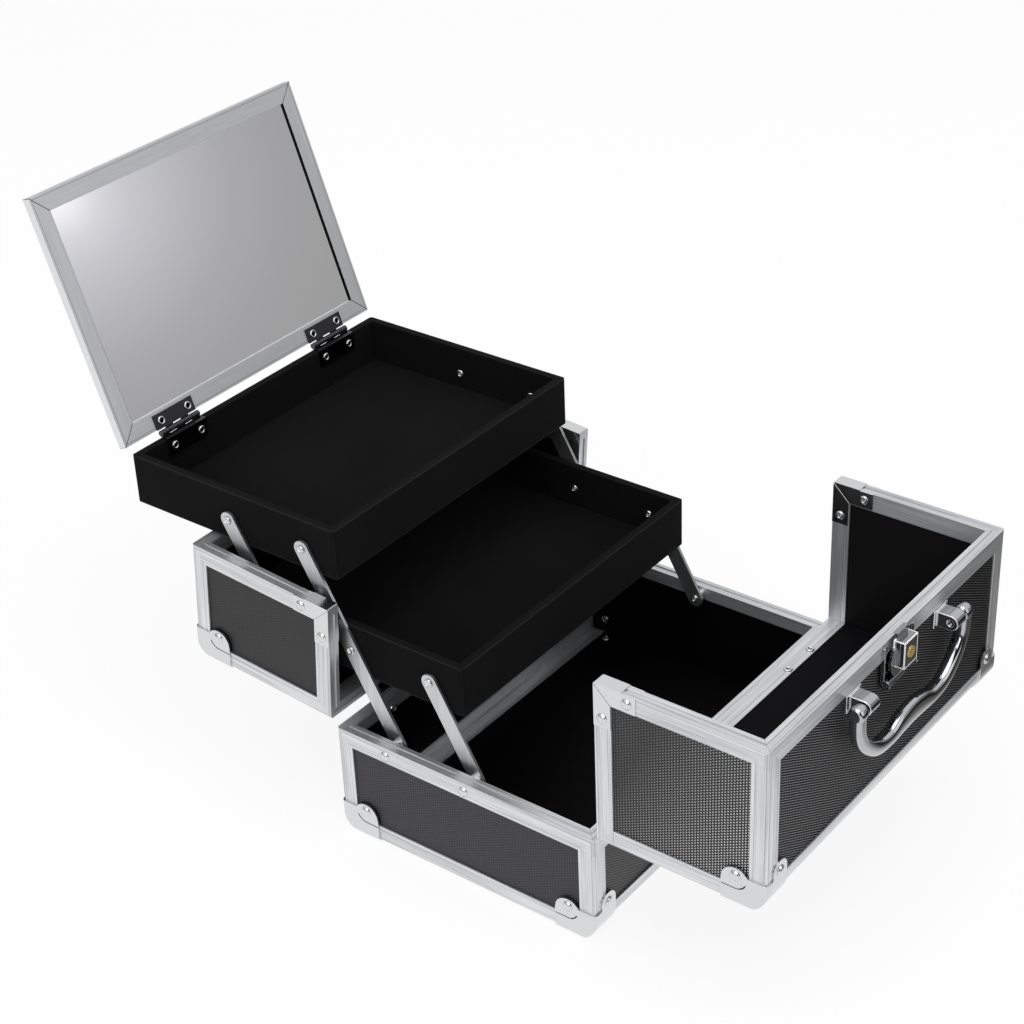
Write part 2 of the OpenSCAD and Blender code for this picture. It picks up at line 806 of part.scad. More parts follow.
module rear_lid_wall() { rear_lid_place() lid_wall(rear_lid_d, rear_hinge_x); }
module rear_lid_top() { rear_lid_place() lid_top(rear_lid_d, rear_hinge_x); }
module rear_lid_left_side() { rear_lid_place() lid_left_side(rear_lid_d, rear_hinge_x); }
module rear_lid_right_side() {
  rear_lid_place() mirror([1, 0, 0]) lid_left_side(rear_lid_d, rear_hinge_x);
}
module rear_lid_rim() { rear_lid_place() lid_rim(rear_lid_d, rear_hinge_x); }
module rear_lid_long_edge() { rear_lid_place() lid_long_edge(rear_lid_d, rear_hinge_x); }
module rear_lid_edge_trims() { rear_lid_place() lid_edge_trims(rear_lid_d, rear_hinge_x); }
module rear_lid_ball_corners() { rear_lid_place() lid_ball_corners(); }
module rear_lid_corner_plates() { rear_lid_place() lid_corner_plates(rear_lid_d, rear_hinge_x); }
module rear_lid_rivets() { rear_lid_place() lid_rivets(rear_lid_d, rear_hinge_x); }
module rear_hinge_lid_leaves() { rear_lid_place() lid_hinge_leaves(rear_knuckle_r, rear_hinge_x); }

// ---------- handle ----------

// The handle axis on the front lid, with +Y away from the hinged side and +Z out of the lid
module handle_axis() {
  front_lid_place() translate([handle_shift, handle_u, lid_h + handle_rise]) children();
}

module handle_brackets() {
  half_l = front_lid_d - trim_w - 0.3 - handle_u;
  lug_r = bracket_w / 2 - 0.3;
  low = -handle_rise - trim_t;
  color(chrome) handle_axis() both_sides() translate([bracket_x, 0, 0]) difference() {
    union() {
      translate([-bracket_w / 2 - 2, -half_l, low]) cube([bracket_w + 4, 2 * half_l, bracket_t]);
      along_x(-bracket_w / 2, bracket_w / 2) {
        translate([-lug_r, low]) square([2 * lug_r, -low]);
        circle(lug_r);
      }
    }
    translate([-bracket_w, 0, 0]) rotate([0, 90, 0]) cylinder(h = 2 * bracket_w, r = handle_pin_r + pivot_fit);
  }
}

// Half of the bail's centre line, from the middle of the grip to the axis: x, y and bar width
handle_half = [
  [0, -handle_drop, 11],
  [0.2 * handle_x, -handle_drop - 0.8, 10],
  [0.42 * handle_x, -handle_drop - 2.4, 7.2],
  [0.66 * handle_x, -handle_drop - 0.6, 7.2],
  [0.88 * handle_x, -0.74 * handle_drop, 7],
  [handle_x - 0.4, -0.41 * handle_drop, 6.4],
  [handle_x, 0, 6.4]
];
handle_steps = 5;
handle_ring = 16;
function flipped(p) = [-p[0], p[1], p[2]];
handle_points = concat(
  [for (i = [len(handle_half) - 1:-1:1]) flipped(handle_half[i])],
  handle_half
);
// A smooth curve through points a to d, between b and c
function smooth(a, b, c, d, t) =
  0.5 * ((2 * b) + (c - a) * t + (2 * a - 5 * b + 4 * c - d) * t * t
    + (3 * b - a - 3 * c + d) * t * t * t);
function on_handle(i) = handle_points[min(max(i, 0), len(handle_points) - 1)];
handle_line = concat(
  [for (i = [0:len(handle_points) - 2]) for (k = [0:handle_steps - 1])
    smooth(on_handle(i - 1), on_handle(i), on_handle(i + 1), on_handle(i + 2), k / handle_steps)],
  [handle_half[len(handle_half) - 1]]
);
// Sideways direction of the bar at ring i
function handle_side(i) =
  let (a = handle_line[max(i - 1, 0)], b = handle_line[min(i + 1, len(handle_line) - 1)])
  let (d = [b[0] - a[0], b[1] - a[1]] / norm([b[0] - a[0], b[1] - a[1]]))
  [-d[1], d[0]];
function squarish(x) = sign(x) * pow(abs(x), 0.7);
handle_skin = [for (i = [0:len(handle_line) - 1]) for (k = [0:handle_ring - 1])
  let (a = 360 * k / handle_ring, p = handle_line[i], side = handle_side(i))
  let (out = squarish(cos(a)) * p[2] / 2)
  [p[0] + side[0] * out, p[1] + side[1] * out, squarish(sin(a)) * handle_t / 2]];

// The bail: a swept bar that swells in the middle, round eyes at its ends, and pins into the lugs
module handle() {
  rings = len(handle_line);
  eye_w = handle_half[len(handle_half) - 1][2];
  color(chrome) handle_axis() {
    polyhedron(handle_skin, concat(
      [[for (k = [0:handle_ring - 1]) k]],
      [for (i = [0:rings - 2]) for (k = [0:handle_ring - 1]) for (half = [0, 1])
        let (n = (k + 1) % handle_ring, a = i * handle_ring, b = a + handle_ring)
        half == 0 ? [a + k, b + k, a + n] : [a + n, b + k, b + n]],
      [[for (k = [handle_ring - 1:-1:0]) (rings - 1) * handle_ring + k]]
    ));
    both_sides() {
      translate([handle_x - eye_w / 2, 0, 0]) rotate([0, 90, 0]) cylinder(h = eye_w, r = handle_t / 2 + 0.5);
      translate([bracket_x - bracket_w / 2 + 1, 0, 0]) rotate([0, 90, 0])
        cylinder(h = handle_x - bracket_x + bracket_w / 2 - 1, r = handle_pin_r);
    }
  }
}

// ---------- lock ----------

// The lever pivot of the lock on the front lid
module lock_axis() {
  front_lid_place() translate([lock_shift, lever_start, lid_h + lever_rise]) children();
}

// Plate with two side flanges that carry the lever
module lock_plate() {
  flange_x = lock_w / 2 - 1;
  foot_r = 8;
  notch_w = 19;
  notch_l = 3.4;
  color(chrome) front_lid_place() translate([lock_shift, 0, 0]) difference() {
    union() {
      translate([0, lock_start, lid_h]) linear_extrude(lock_plate_t) {
        translate([-lock_w / 2, foot_r]) square([lock_w, lock_l - foot_r]);
        for (a = [-1, 1]) translate([a * (lock_w / 2 - foot_r), foot_r]) circle(foot_r);
        translate([foot_r - lock_w / 2, 0]) square([lock_w - 2 * foot_r, lock_l]);
      }
      translate([foot_r - lock_w / 2, lock_start, lid_h - trim_t])
        cube([lock_w - 2 * foot_r, front_lid_d - trim_w - 0.2 - lock_start, trim_t]);
      both_sides() along_x(flange_x, lock_w / 2) translate([lever_start, lid_h]) {
        translate([0, lever_rise]) circle(lever_pin_r + 1.3);
        translate([-lever_pin_r - 1.3, 0]) square([2 * lever_pin_r + 2.6, lever_rise]);
        square([lock_end - lever_start, lever_rise - 0.6]);
      }
    }
    translate([-notch_w / 2, lock_end - notch_l, lid_h - over])
      cube([notch_w, notch_l + over, 3 * over]);
    lock_pin_bore();
  }
}

module lock_pin_bore() {
  translate([-lock_w, lever_start, lid_h + lever_rise]) rotate([0, 90, 0])
    cylinder(h = 2 * lock_w, r = lever_pin_r + pivot_fit);
}

// Lever of the lock: trunnions, a round plate, the box for the key cylinder and a hook at its tip
module lock_lever() {
  half_w = lock_w / 2 - 1.3;
  disc_r = 9;
  box_y = lock_box_end - lock_box_l;
  color(chrome) lock_axis() difference() {
    union() {
      translate([-half_w, 0, 0]) rotate([0, 90, 0]) cylinder(h = 2 * half_w, r = lever_t);
      translate([-lock_w / 2, 0, 0]) rotate([0, 90, 0]) cylinder(h = lock_w, r = lever_pin_r);
      translate([0, 0, -lever_t / 2]) linear_extrude(lever_t) {
        translate([0, disc_r - 0.5]) circle(disc_r);
        translate([-lock_box_w / 2, 0]) square([lock_box_w, lock_box_end]);
        translate([-hook_w / 2, 0]) square([hook_w, lever_reach]);
      }
      translate([-lock_box_w / 2, box_y, 0]) cube([lock_box_w, lock_box_l, lever_t / 2 + lock_box_t]);
      translate([-hook_w / 2, lever_reach - hook_t, hook_low - lever_rise])
        cube([hook_w, hook_t, lever_rise - hook_low]);
    }
    translate([0, box_y + lock_box_l / 2, lever_t / 2 + 1]) cylinder(h = lock_box_t + over, r = key_r + pivot_fit);
  }
}

module key_cylinder() {
  top = lever_t / 2 + lock_box_t + 0.4;
  low = lever_t / 2 + 1.1;
  slot_w = 0.8;
  slot_l = 1.3 * key_r;
  color(brass) lock_axis() translate([0, lock_box_end - lock_box_l / 2, 0]) difference() {
    translate([0, 0, low]) cylinder(h = top - low, r = key_r);
    translate([-slot_w / 2, -slot_l / 2, top - over]) cube([slot_w, slot_l, 2 * over]);
  }
}

// Strike on the rear lid: its lip stands at the split, under the hook of the lever
module lock_strike() {
  seat = 8;
  lip_h = 1.6;
  lip_end = case_d - lever_start - lever_reach + hook_t + 0.1 + strike_t;
  color(chrome) rear_lid_place() translate([lock_shift, 0, 0]) {
    translate([-hook_w / 2 - 1, lip_end - seat, lid_h]) cube([hook_w + 2, seat, strike_t]);
    translate([-hook_w / 2, lip_end - strike_t, lid_h]) cube([hook_w, strike_t, lip_h]);
  }
}

// ---------- arms and trays ----------

// Flat arm from pivot p, with bores at the given distances along it, on both sides
module arms(p, bores) {
  reach = bores[len(bores) - 1];
  color(aluminium) both_sides() along_x(arm_in, arm_out) translate(p) rotate(90 - lean) difference() {
    union() {
      translate([0, -arm_w / 2]) square([reach, arm_w]);
      circle(arm_w / 2);
      translate([reach, 0]) circle(arm_w / 2);
    }
    for (s = bores) translate([s, 0]) circle(rivet_r + pivot_fit);
  }
}
module long_arms() { arms(base_b, [0, lower_link, lower_link + upper_link]); }
module front_short_arms() { arms(base_c, [0, lower_link]); }
module rear_short_arms() { arms(low_a, [0, upper_link]); }

// The outside of a tray's side wall at each of its pivots, with +Z pointing out
module tray_pivot_places(pivots) {
  for (p = pivots)
    both_sides() translate([-tray_w / 2, p[0], p[1]]) rotate([0, -90, 0]) children();
}

module tray(y, z, pivots) {
  color(lining_black) difference() {
    translate([0, y, z]) linear_extrude(tray_h) rounded_plate(tray_w, tray_d, tray_r);
    translate([0, y, z + tray_floor]) linear_extrude(tray_h)
      rounded_plate(tray_w - 2 * tray_wall, tray_d - 2 * tray_wall, tray_r / 2);
    tray_pivot_places(pivots) rivet_bore(tray_wall);
  }
}

// Rivets that carry the arms: a washer against the tray, a running shank and a head past the arm
module tray_rivets(pivots) {
  play = 0.1;
  color(chrome) tray_pivot_places(pivots) {
    translate([0, 0, washer_t + arm_t + play]) rivet(tray_wall + washer_t + arm_t + play);
    cylinder(h = washer_t - play, r = rivet_r + 1.6);
  }
}

module lower_tray() { tray(lower_tray_y, lower_tray_z, [low_c, low_b, low_a]); }
module lower_tray_rivets() { tray_rivets([low_c, low_b, low_a]); }
module upper_tray() {
  difference() {
    tray(upper_tray_y, upper_tray_z, [up_b, up_a]);
    mirror_hinge_rivet_places() rivet_bore(tray_wall + over);
  }
}
module upper_tray_rivets() { tray_rivets([up_b, up_a]); }

// ---------- mirror ----------

module mirror_place() {
  translate([0, mirror_pin[0], mirror_pin[1]]) rotate([-mirror_lean, 0, 0]) children();
}

// Inside of the tray's rear wall at the hinge rivets, with +Z pointing into the tray
module mirror_hinge_rivet_places() {
  inner = upper_tray_y + tray_d / 2 - tray_wall;
  both_sides() for (x = [-mirror_rivet_x, mirror_rivet_x])
    translate([mirror_hinge_x + x, inner - mirror_leaf_t, upper_tray_z + tray_h - 4.2])
      rotate([90, 0, 0]) children();
}

module mirror_hinge_tray_leaves() {
  top = upper_tray_z + tray_h;
  inner = upper_tray_y + tray_d / 2 - tray_wall;
  step = mirror_hinge_w / 5;
  color(chrome) difference() {
    both_sides() translate([mirror_hinge_x - mirror_hinge_w / 2, 0, 0]) {
      translate([0, inner - mirror_leaf_t, top - mirror_leaf_h])
        cube([mirror_hinge_w, mirror_leaf_t, mirror_leaf_h + mirror_leaf_t]);
      translate([0, inner - mirror_leaf_t, top])
        cube([mirror_hinge_w, mirror_pin[0] - mirror_knuckle_r - 0.3 - inner + mirror_leaf_t, mirror_leaf_t]);
      for (k = [0, 2, 4]) translate([k * step + 0.15, 0, 0]) {
        translate([0, inner, top]) cube([step - 0.3, mirror_pin[0] - inner, mirror_leaf_t]);
        translate([0, mirror_pin[0], mirror_pin[1]]) rotate([0, 90, 0])
          cylinder(h = step - 0.3, r = mirror_knuckle_r);
      }
      translate([1, mirror_pin[0], mirror_pin[1]]) rotate([0, 90, 0])
        cylinder(h = mirror_hinge_w - 2, r = mirror_knuckle_r / 2);
    }
    mirror_hinge_rivet_places() rivet_bore(tray_wall);
  }
}

module mirror_hinge_rivets() {
  color(chrome) mirror_hinge_rivet_places() rivet(mirror_leaf_t + tray_wall);
}

mirror_face = mirror_knuckle_r + 0.2;

// A plate of the mirror, drawn in by inset, between two depths behind its front face
module mirror_slab(inset, y0, y1) {
  translate([inset - mirror_w / 2, mirror_face + y0, mirror_foot + inset])
    cube([mirror_w - 2 * inset, y1 - y0, mirror_h - 2 * inset]);
}

module mirror_leaf_places() {
  both_sides() for (x = [-mirror_rivet_x, mirror_rivet_x])
    translate([mirror_hinge_x + x, mirror_face - mirror_leaf_t, mirror_foot + 3.6])
      rotate([90, 0, 0]) children();
}

// Four mitred bars with a slot behind their front lip
module mirror_frame() {
  color(aluminium) mirror_place() difference() {
    mirror_slab(0, 0, mirror_t);
    mirror_slab(mirror_bar, -over, mirror_t + over);
    mirror_slab(mirror_bar - mirror_rabbet, 1, mirror_t - 0.6);
    both_sides() for (a = [0, 1])
      translate([-mirror_w / 2, mirror_face, mirror_foot + mirror_h / 2]) mirror([0, 0, a])
        translate([0, mirror_t + over, -mirror_h / 2]) rotate([90, 0, 0]) mitre_cut(mirror_t + 2 * over);
    mirror_leaf_places() rivet_bore(mirror_t - 1.8);
  }
}

module mirror_glass() {
  color("#dfe6ea") mirror_place() mirror_slab(mirror_bar - mirror_rabbet + 0.1, 1 + fit, 1 + glass_t);
}

module mirror_back() {
  color(lining_black) mirror_place()
    mirror_slab(mirror_bar - mirror_rabbet + 0.1, 1 + glass_t + fit, mirror_t - 0.6 - fit);
}

module mirror_hinge_mirror_leaves() {
  step = mirror_hinge_w / 5;
  color(chrome) mirror_place() difference() {
    both_sides() translate([mirror_hinge_x - mirror_hinge_w / 2, 0, 0]) {
      translate([0, mirror_face - mirror_leaf_t, mirror_knuckle_r + 0.3])
        cube([mirror_hinge_w, mirror_leaf_t, mirror_leaf_h - mirror_knuckle_r]);
      for (k = [1, 3]) translate([k * step + 0.15, 0, 0]) {
        translate([0, mirror_face - mirror_leaf_t, 0])
          cube([step - 0.3, mirror_leaf_t, mirror_knuckle_r + 2 * over]);
        rotate([0, 90, 0]) cylinder(h = step - 0.3, r = mirror_knuckle_r);
      }
    }
    translate([-case_w / 2, 0, 0]) rotate([0, 90, 0])
      cylinder(h = case_w, r = mirror_knuckle_r / 2 + pivot_fit);
    mirror_leaf_places() rivet_bore(over);
  }
}

module mirror_leaf_rivets() {
  color(chrome) mirror_place() mirror_leaf_places() rivet(mirror_leaf_t + mirror_t - 1.8, tail = false);
}

base_floor();
base_front_wall();
base_rear_wall();
base_left_wall();
base_right_wall();
base_rim();
base_long_edges();
base_side_edges();
base_corner_posts();
base_ball_corners();
base_rivets();
base_pivot_rivets();
front_hinge_base_leaves();
rear_hinge_base_leaves();
front_lid_wall();
front_lid_top();
front_lid_left_side();
front_lid_right_side();
front_lid_rim();
front_lid_long_edge();
front_lid_edge_trims();
front_lid_ball_corners();
front_lid_corner_plates();
front_lid_rivets();
front_hinge_lid_leaves();
handle_brackets();
handle();
lock_plate();
lock_lever();
key_cylinder();
rear_lid_wall();
rear_lid_top();
rear_lid_left_side();
rear_lid_right_side();
rear_lid_rim();
rear_lid_long_edge();
rear_lid_edge_trims();
rear_lid_ball_corners();
rear_lid_corner_plates();
rear_lid_rivets();
rear_hinge_lid_leaves();
lock_strike();
long_arms();
front_short_arms();
rear_short_arms();
lower_tray();
lower_tray_rivets();
upper_tray();
upper_tray_rivets();
mirror_hinge_tray_leaves();
mirror_hinge_rivets();
mirror_frame();
mirror_glass();
mirror_back();
mirror_hinge_mirror_leaves();
mirror_leaf_rivets();
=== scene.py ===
# Cosmetic case with a split lid, two cantilever trays and a folding mirror: finishes, fittings and studio.
import json
import math

import bmesh
import bpy
import numpy as np
from mathutils import Matrix, Vector


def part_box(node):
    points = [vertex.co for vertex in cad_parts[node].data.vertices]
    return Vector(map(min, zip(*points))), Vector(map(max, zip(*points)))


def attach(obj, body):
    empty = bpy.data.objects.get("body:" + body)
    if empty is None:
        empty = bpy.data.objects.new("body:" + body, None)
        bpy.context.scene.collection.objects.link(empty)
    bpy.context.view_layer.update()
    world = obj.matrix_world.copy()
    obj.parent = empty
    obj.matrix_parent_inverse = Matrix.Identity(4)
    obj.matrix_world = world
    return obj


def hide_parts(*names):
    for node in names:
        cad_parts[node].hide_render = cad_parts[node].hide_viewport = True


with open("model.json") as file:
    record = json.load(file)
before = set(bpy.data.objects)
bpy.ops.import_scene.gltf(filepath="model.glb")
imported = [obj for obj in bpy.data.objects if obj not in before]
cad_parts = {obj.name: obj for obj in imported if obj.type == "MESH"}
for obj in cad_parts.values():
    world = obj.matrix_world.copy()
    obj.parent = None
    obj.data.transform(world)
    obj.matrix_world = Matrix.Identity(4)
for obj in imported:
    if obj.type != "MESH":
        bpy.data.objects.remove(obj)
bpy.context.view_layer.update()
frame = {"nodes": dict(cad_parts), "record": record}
nodes = frame["nodes"]
bodyOf = {n: b for b, names in frame["record"]["behaviour"]["bodies"].items() for n in names}
slotOf = {s["node"]: s["material_slot"] for s in frame["record"]["subparts"]}
mm = 0.001
print("frame loaded:", len(nodes), "nodes")


# sRGB hex to linear colour
def linear(code):
    parts = [int(code[i:i + 2], 16) / 255 for i in (1, 3, 5)]
    return tuple(c / 12.92 if c <= 0.04045 else ((c + 0.055) / 1.055) ** 2.4 for c in parts) + (1.0,)


# An object of this name and data, put into the scene
def addObject(name, data):
    item = bpy.data.objects.new(name, data)
    bpy.context.scene.collection.objects.link(item)
    return item


# Adds a node with its settings (attributes or input values) and links ({input: output})
def addNode(tree, kind, settings=None, links=None):
    node = tree.nodes.new(kind)
    for key, value in (settings or {}).items():
        if isinstance(key, str) and hasattr(node, key):
            setattr(node, key, value)
        else:
            node.inputs[key].default_value = value
    for key, source in (links or {}).items():
        tree.links.new(source, node.inputs[key])
    return node


# A material with its node tree and its shader, on whose sockets the settings go
def newMaterial(name, settings):
    material = bpy.data.materials.new(name)
    material.use_nodes = True
    tree = material.node_tree
    shader = tree.nodes["Principled BSDF"]
    for key, value in settings.items():
        shader.inputs[key].default_value = value
    return material, tree, shader


# Raises a height into the shader's normal
def bumped(tree, shader, height, distanceMm, strength=1.0):
    bump = addNode(tree, "ShaderNodeBump", {"Strength": strength, "Distance": distanceMm * mm}, {"Height": height})
    tree.links.new(bump.outputs[0], shader.inputs["Normal"])


# Position on a piece in millimetres, turned about X by tilt at a point for the leaning lid
def position(tree, tilt=0.0, centre=(0, 0, 0)):
    coords = addNode(tree, "ShaderNodeTexCoord").outputs["Object"]
    if tilt:
        coords = addNode(tree, "ShaderNodeVectorRotate", {"rotation_type": "X_AXIS", "Center": centre, "Angle": tilt},
                         {"Vector": coords}).outputs[0]
    return addNode(tree, "ShaderNodeVectorMath", {"operation": "SCALE", "Scale": 1000.0}, {0: coords}).outputs[0]


# One step of arithmetic on numbers or outputs
def maths(tree, operation, a, b=None, c=None, clamp=False):
    node = addNode(tree, "ShaderNodeMath", {"operation": operation, "use_clamp": clamp})
    for i, value in enumerate((a, b, c)):
        if value is None:
            continue
        if isinstance(value, (int, float)):
            node.inputs[i].default_value = value
        else:
            tree.links.new(value, node.inputs[i])
    return node.outputs[0]


# Colour a turned into colour b by a factor
def mixed(tree, factor, a, b):
    node = addNode(tree, "ShaderNodeMix", {"data_type": "RGBA"})
    for key, value in (("Factor", factor), ("A", a), ("B", b)):
        socket = [s for s in node.inputs if s.name == key and s.enabled][0]
        if isinstance(value, (int, float, tuple)):
            socket.default_value = value
        else:
            tree.links.new(value, socket)
    return [s for s in node.outputs if s.enabled][0]


# The three boxes of the case, in mm, for finishes that follow their edges
base = {"centre": (0, 0, 29.4), "half": (100, 73, 28.6), "tilt": 0.0}
frontLid = {"centre": (0, -117.2, 101.35), "half": (100, 42.2, 41.35), "tilt": 0.0}
rearLid = {"centre": (0, 118.4, 92.3), "half": (100, 42.2, 31.1), "tilt": math.radians(-4.35),
           "pin": (0, 75.9 * mm, 58.3 * mm)}


# Distances of a point from the three nearest faces of a box, as X, Y and Z values
def faceDistances(tree, box):
    place = position(tree, box["tilt"], box.get("pin", (0, 0, 0)))
    offset = addNode(tree, "ShaderNodeVectorMath", {"operation": "SUBTRACT", 1: box["centre"]}, {0: place}).outputs[0]
    absolute = addNode(tree, "ShaderNodeVectorMath", {"operation": "ABSOLUTE"}, {0: offset}).outputs[0]
    inside = addNode(tree, "ShaderNodeVectorMath", {"operation": "SUBTRACT", 0: box["half"]}, {1: absolute}).outputs[0]
    split = addNode(tree, "ShaderNodeSeparateXYZ", None, {0: inside})
    return place, list(split.outputs)


# The three distances in order: lowest, middle and highest
def inOrder(tree, d):
    low = maths(tree, "MINIMUM", maths(tree, "MINIMUM", d[0], d[1]), d[2])
    high = maths(tree, "MAXIMUM", maths(tree, "MAXIMUM", d[0], d[1]), d[2])
    total = maths(tree, "ADD", maths(tree, "ADD", d[0], d[1]), d[2])
    return low, maths(tree, "SUBTRACT", maths(tree, "SUBTRACT", total, high), low), high


# Noise drawn out into lines by a scale along each axis
def drawnLines(tree, place, scale):
    stretched = addNode(tree, "ShaderNodeVectorMath", {"operation": "MULTIPLY"}, {0: place, 1: scale})
    noise = addNode(tree, "ShaderNodeTexNoise", {"Scale": 1.0, "Detail": 2.0}, {"Vector": stretched.outputs[0]})
    return noise.outputs[0]


# Extruded aluminium, satin anodised: bright, with fine drawn lines along each length and a few deeper profile lines
# darkened by painted shade
satinAluminium = {"colour": "#e0e2e4", "shade": "#8f9296", "roughness": 0.33, "oxide": 0.25, "bumpMm": 0.03,
                  "lineMm": 0.35, "runMm": 50.0, "lineTone": (1.1, -0.35), "bandMm": 2.2, "bandRunMm": 45.0,
                  "bandTone": (0.9, -0.4), "grooves": (1.2, 6.6), "grooveMm": 0.14, "grooveShade": 0.4,
                  "grooveDeep": 2.0}


def makeSatinAluminium(name, box):
    s = satinAluminium
    material, tree, shader = newMaterial(name, {"Metallic": 1.0 - s["oxide"], "Roughness": s["roughness"]})
    place, d = faceDistances(tree, box)
    run = [None] * 3
    for i in range(3):
        a, b = d[(i + 1) % 3], d[(i + 2) % 3]
        run[i] = maths(tree, "GREATER_THAN", d[i], maths(tree, "MAXIMUM", a, b))
    noise = []
    for across, along in ((s["lineMm"], s["runMm"]), (s["bandMm"], s["bandRunMm"])):
        scale = addNode(tree, "ShaderNodeCombineXYZ")
        for i in range(3):
            tree.links.new(maths(tree, "MULTIPLY_ADD", run[i], 1 / along - 1 / across, 1 / across), scale.inputs[i])
        noise.append(drawnLines(tree, place, scale.outputs[0]))
    lines, bands = noise
    middle = inOrder(tree, d)[1]
    groove = 0.0
    for at in s["grooves"]:
        near = maths(tree, "LESS_THAN", maths(tree, "ABSOLUTE", maths(tree, "SUBTRACT", middle, at)), s["grooveMm"])
        groove = maths(tree, "MAXIMUM", groove, near)
    streaks = maths(tree, "ADD", maths(tree, "MULTIPLY_ADD", lines, *s["lineTone"]),
                    maths(tree, "MULTIPLY_ADD", bands, *s["bandTone"]))
    # The profile grooves take painted shade
    tone = maths(tree, "MULTIPLY_ADD", groove, s["grooveShade"], streaks, clamp=True)
    tree.links.new(mixed(tree, tone, linear(s["colour"]), linear(s["shade"])), shader.inputs["Base Color"])
    height = maths(tree, "SUBTRACT", lines, maths(tree, "MULTIPLY", groove, s["grooveDeep"]))
    bumped(tree, shader, height, s["bumpMm"], 0.5)
    return material


# Flat aluminium strip of the arms, brushed along its length (the mirror frame's strip has its own finish below)
brushedStrip = {"colour": "#e6e8e9", "shade": "#a9abad", "roughness": 0.38, "lineMm": 0.4, "runMm": 40.0,
                "bumpMm": 0.02}


def makeBrushedStrip(name, along):
    s = brushedStrip
    material, tree, shader = newMaterial(name, {"Metallic": 1.0, "Roughness": s["roughness"]})
    scale = tuple(1 / s["runMm"] if i == along else 1 / s["lineMm"] for i in range(3))
    stretched = addNode(tree, "ShaderNodeVectorMath", {"operation": "MULTIPLY", 1: scale}, {0: position(tree)})
    lines = addNode(tree, "ShaderNodeTexNoise", {"Scale": 1.0, "Detail": 2.0}, {"Vector": stretched.outputs[0]})
    tree.links.new(mixed(tree, lines.outputs[0], linear(s["colour"]), linear(s["shade"])), shader.inputs["Base Color"])
    bumped(tree, shader, lines.outputs[0], s["bumpMm"], 0.4)
    return material


# Frame of the mirror, upright after turning by its lean at the pin: each bar brushed along itself, the mitres
#  dark, the outer lip drawn by a line of painted shade and the bars' inner sides near black, a painted shadow gap
mirrorBars = {"centre": (0, 206.68, 223.54), "half": (88.8, 20, 62.75), "tilt": math.radians(19.5),
              "pin": (0, 202.68 * mm, 158.79 * mm), "colour": "#f4f5f6", "shade": "#c4c6c8", "mitre": "#55575a",
              "side": "#0c0f10", "inner": 8.85, "lip": (1.0, 1.5), "lipShade": 0.35, "mitreMm": 0.28, "lineMm": 0.4,
              "runMm": 40.0, "bumpMm": 0.02}


def makeMirrorBars():
    s = mirrorBars
    material, tree, shader = newMaterial("brushedStripMirror", {"Metallic": 0.8, "Roughness": 0.36})
    place, d = faceDistances(tree, s)
    level = maths(tree, "LESS_THAN", d[2], d[0])
    fine, coarse = 1 / s["lineMm"], 1 / s["runMm"]
    scale = addNode(tree, "ShaderNodeCombineXYZ", {"Y": fine})
    tree.links.new(maths(tree, "MULTIPLY_ADD", level, coarse - fine, fine), scale.inputs[0])
    tree.links.new(maths(tree, "MULTIPLY_ADD", level, fine - coarse, coarse), scale.inputs[2])
    lines = drawnLines(tree, place, scale.outputs[0])
    edge = maths(tree, "MINIMUM", d[0], d[2])
    lip = maths(tree, "MULTIPLY", maths(tree, "GREATER_THAN", edge, s["lip"][0]),
                maths(tree, "LESS_THAN", edge, s["lip"][1]))
    mitre = maths(tree, "LESS_THAN", maths(tree, "ABSOLUTE", maths(tree, "SUBTRACT", d[0], d[2])), s["mitreMm"])
    # The lip's line is painted shade, in the mitres' grey
    dark = maths(tree, "MAXIMUM", mitre, maths(tree, "MULTIPLY", lip, s["lipShade"]))
    # The bars' inner sides by the glass are near black: a painted shadow gap
    side = maths(tree, "MULTIPLY", maths(tree, "GREATER_THAN", d[0], s["inner"]), maths(tree, "LESS_THAN", d[0], d[2]))
    brushed = mixed(tree, lines, linear(s["colour"]), linear(s["shade"]))
    lined = mixed(tree, dark, brushed, linear(s["mitre"]))
    tree.links.new(mixed(tree, side, lined, linear(s["side"])), shader.inputs["Base Color"])
    bumped(tree, shader, lines, s["bumpMm"], 0.4)
    return material


# Chrome-plated zinc: a clear dark mirror with faint polishing haze; the lock's copy is darker, painted shade
chromePlate = {"colour": "#b6b8bb", "roughness": 0.04, "haze": 0.06, "hazeMm": 6.0}
shadedLockChrome = {**chromePlate, "colour": "#95979a"}
# Corners of the small castings: a pale chrome, painted highlight, rough enough to catch the light from everywhere
highlightedBevel = {"colour": "#fafbfc", "roughness": 0.42, "haze": 0.06, "hazeMm": 3.0}
# Nickel-plated pressed steel of corners and rivets: softer than the chrome, with a slight orange-peel
nickelPlate = {"colour": "#d8d9da", "roughness": 0.2, "haze": 0.05, "hazeMm": 9.0}
# Black nickel of the mirror's hinges: a smoky half-mirror
blackNickel = {"colour": "#4c4c4f", "roughness": 0.12, "haze": 0.08, "hazeMm": 5.0}
# The lock's box around its key, in mm, whose corners get a painted highlight: white, a little rough and less metallic
lockBox = {"wide": 11.0, "tall": 13.0, "deep": 5.2, "highlightMm": 0.48, "outsideMm": 0.3, "colour": "#ffffff",
           "roughness": 0.5, "dull": 0.6}


# Painted highlight: one along the corners of the lock's box, and nought elsewhere
def cornerHighlight(tree, size):
    lever, key = (np.array(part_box(node)) / mm for node in ("lock_lever", "key_cylinder"))
    middle = key.mean(0)
    box = {"centre": (middle[0], lever[0][1] + size["deep"] / 2, middle[2]),
           "half": (size["wide"] / 2, size["deep"] / 2, size["tall"] / 2), "tilt": 0.0}
    lowest, second, _ = inOrder(tree, faceDistances(tree, box)[1])
    return maths(tree, "MULTIPLY", maths(tree, "LESS_THAN", second, size["highlightMm"]),
                 maths(tree, "GREATER_THAN", lowest, -size["outsideMm"]))
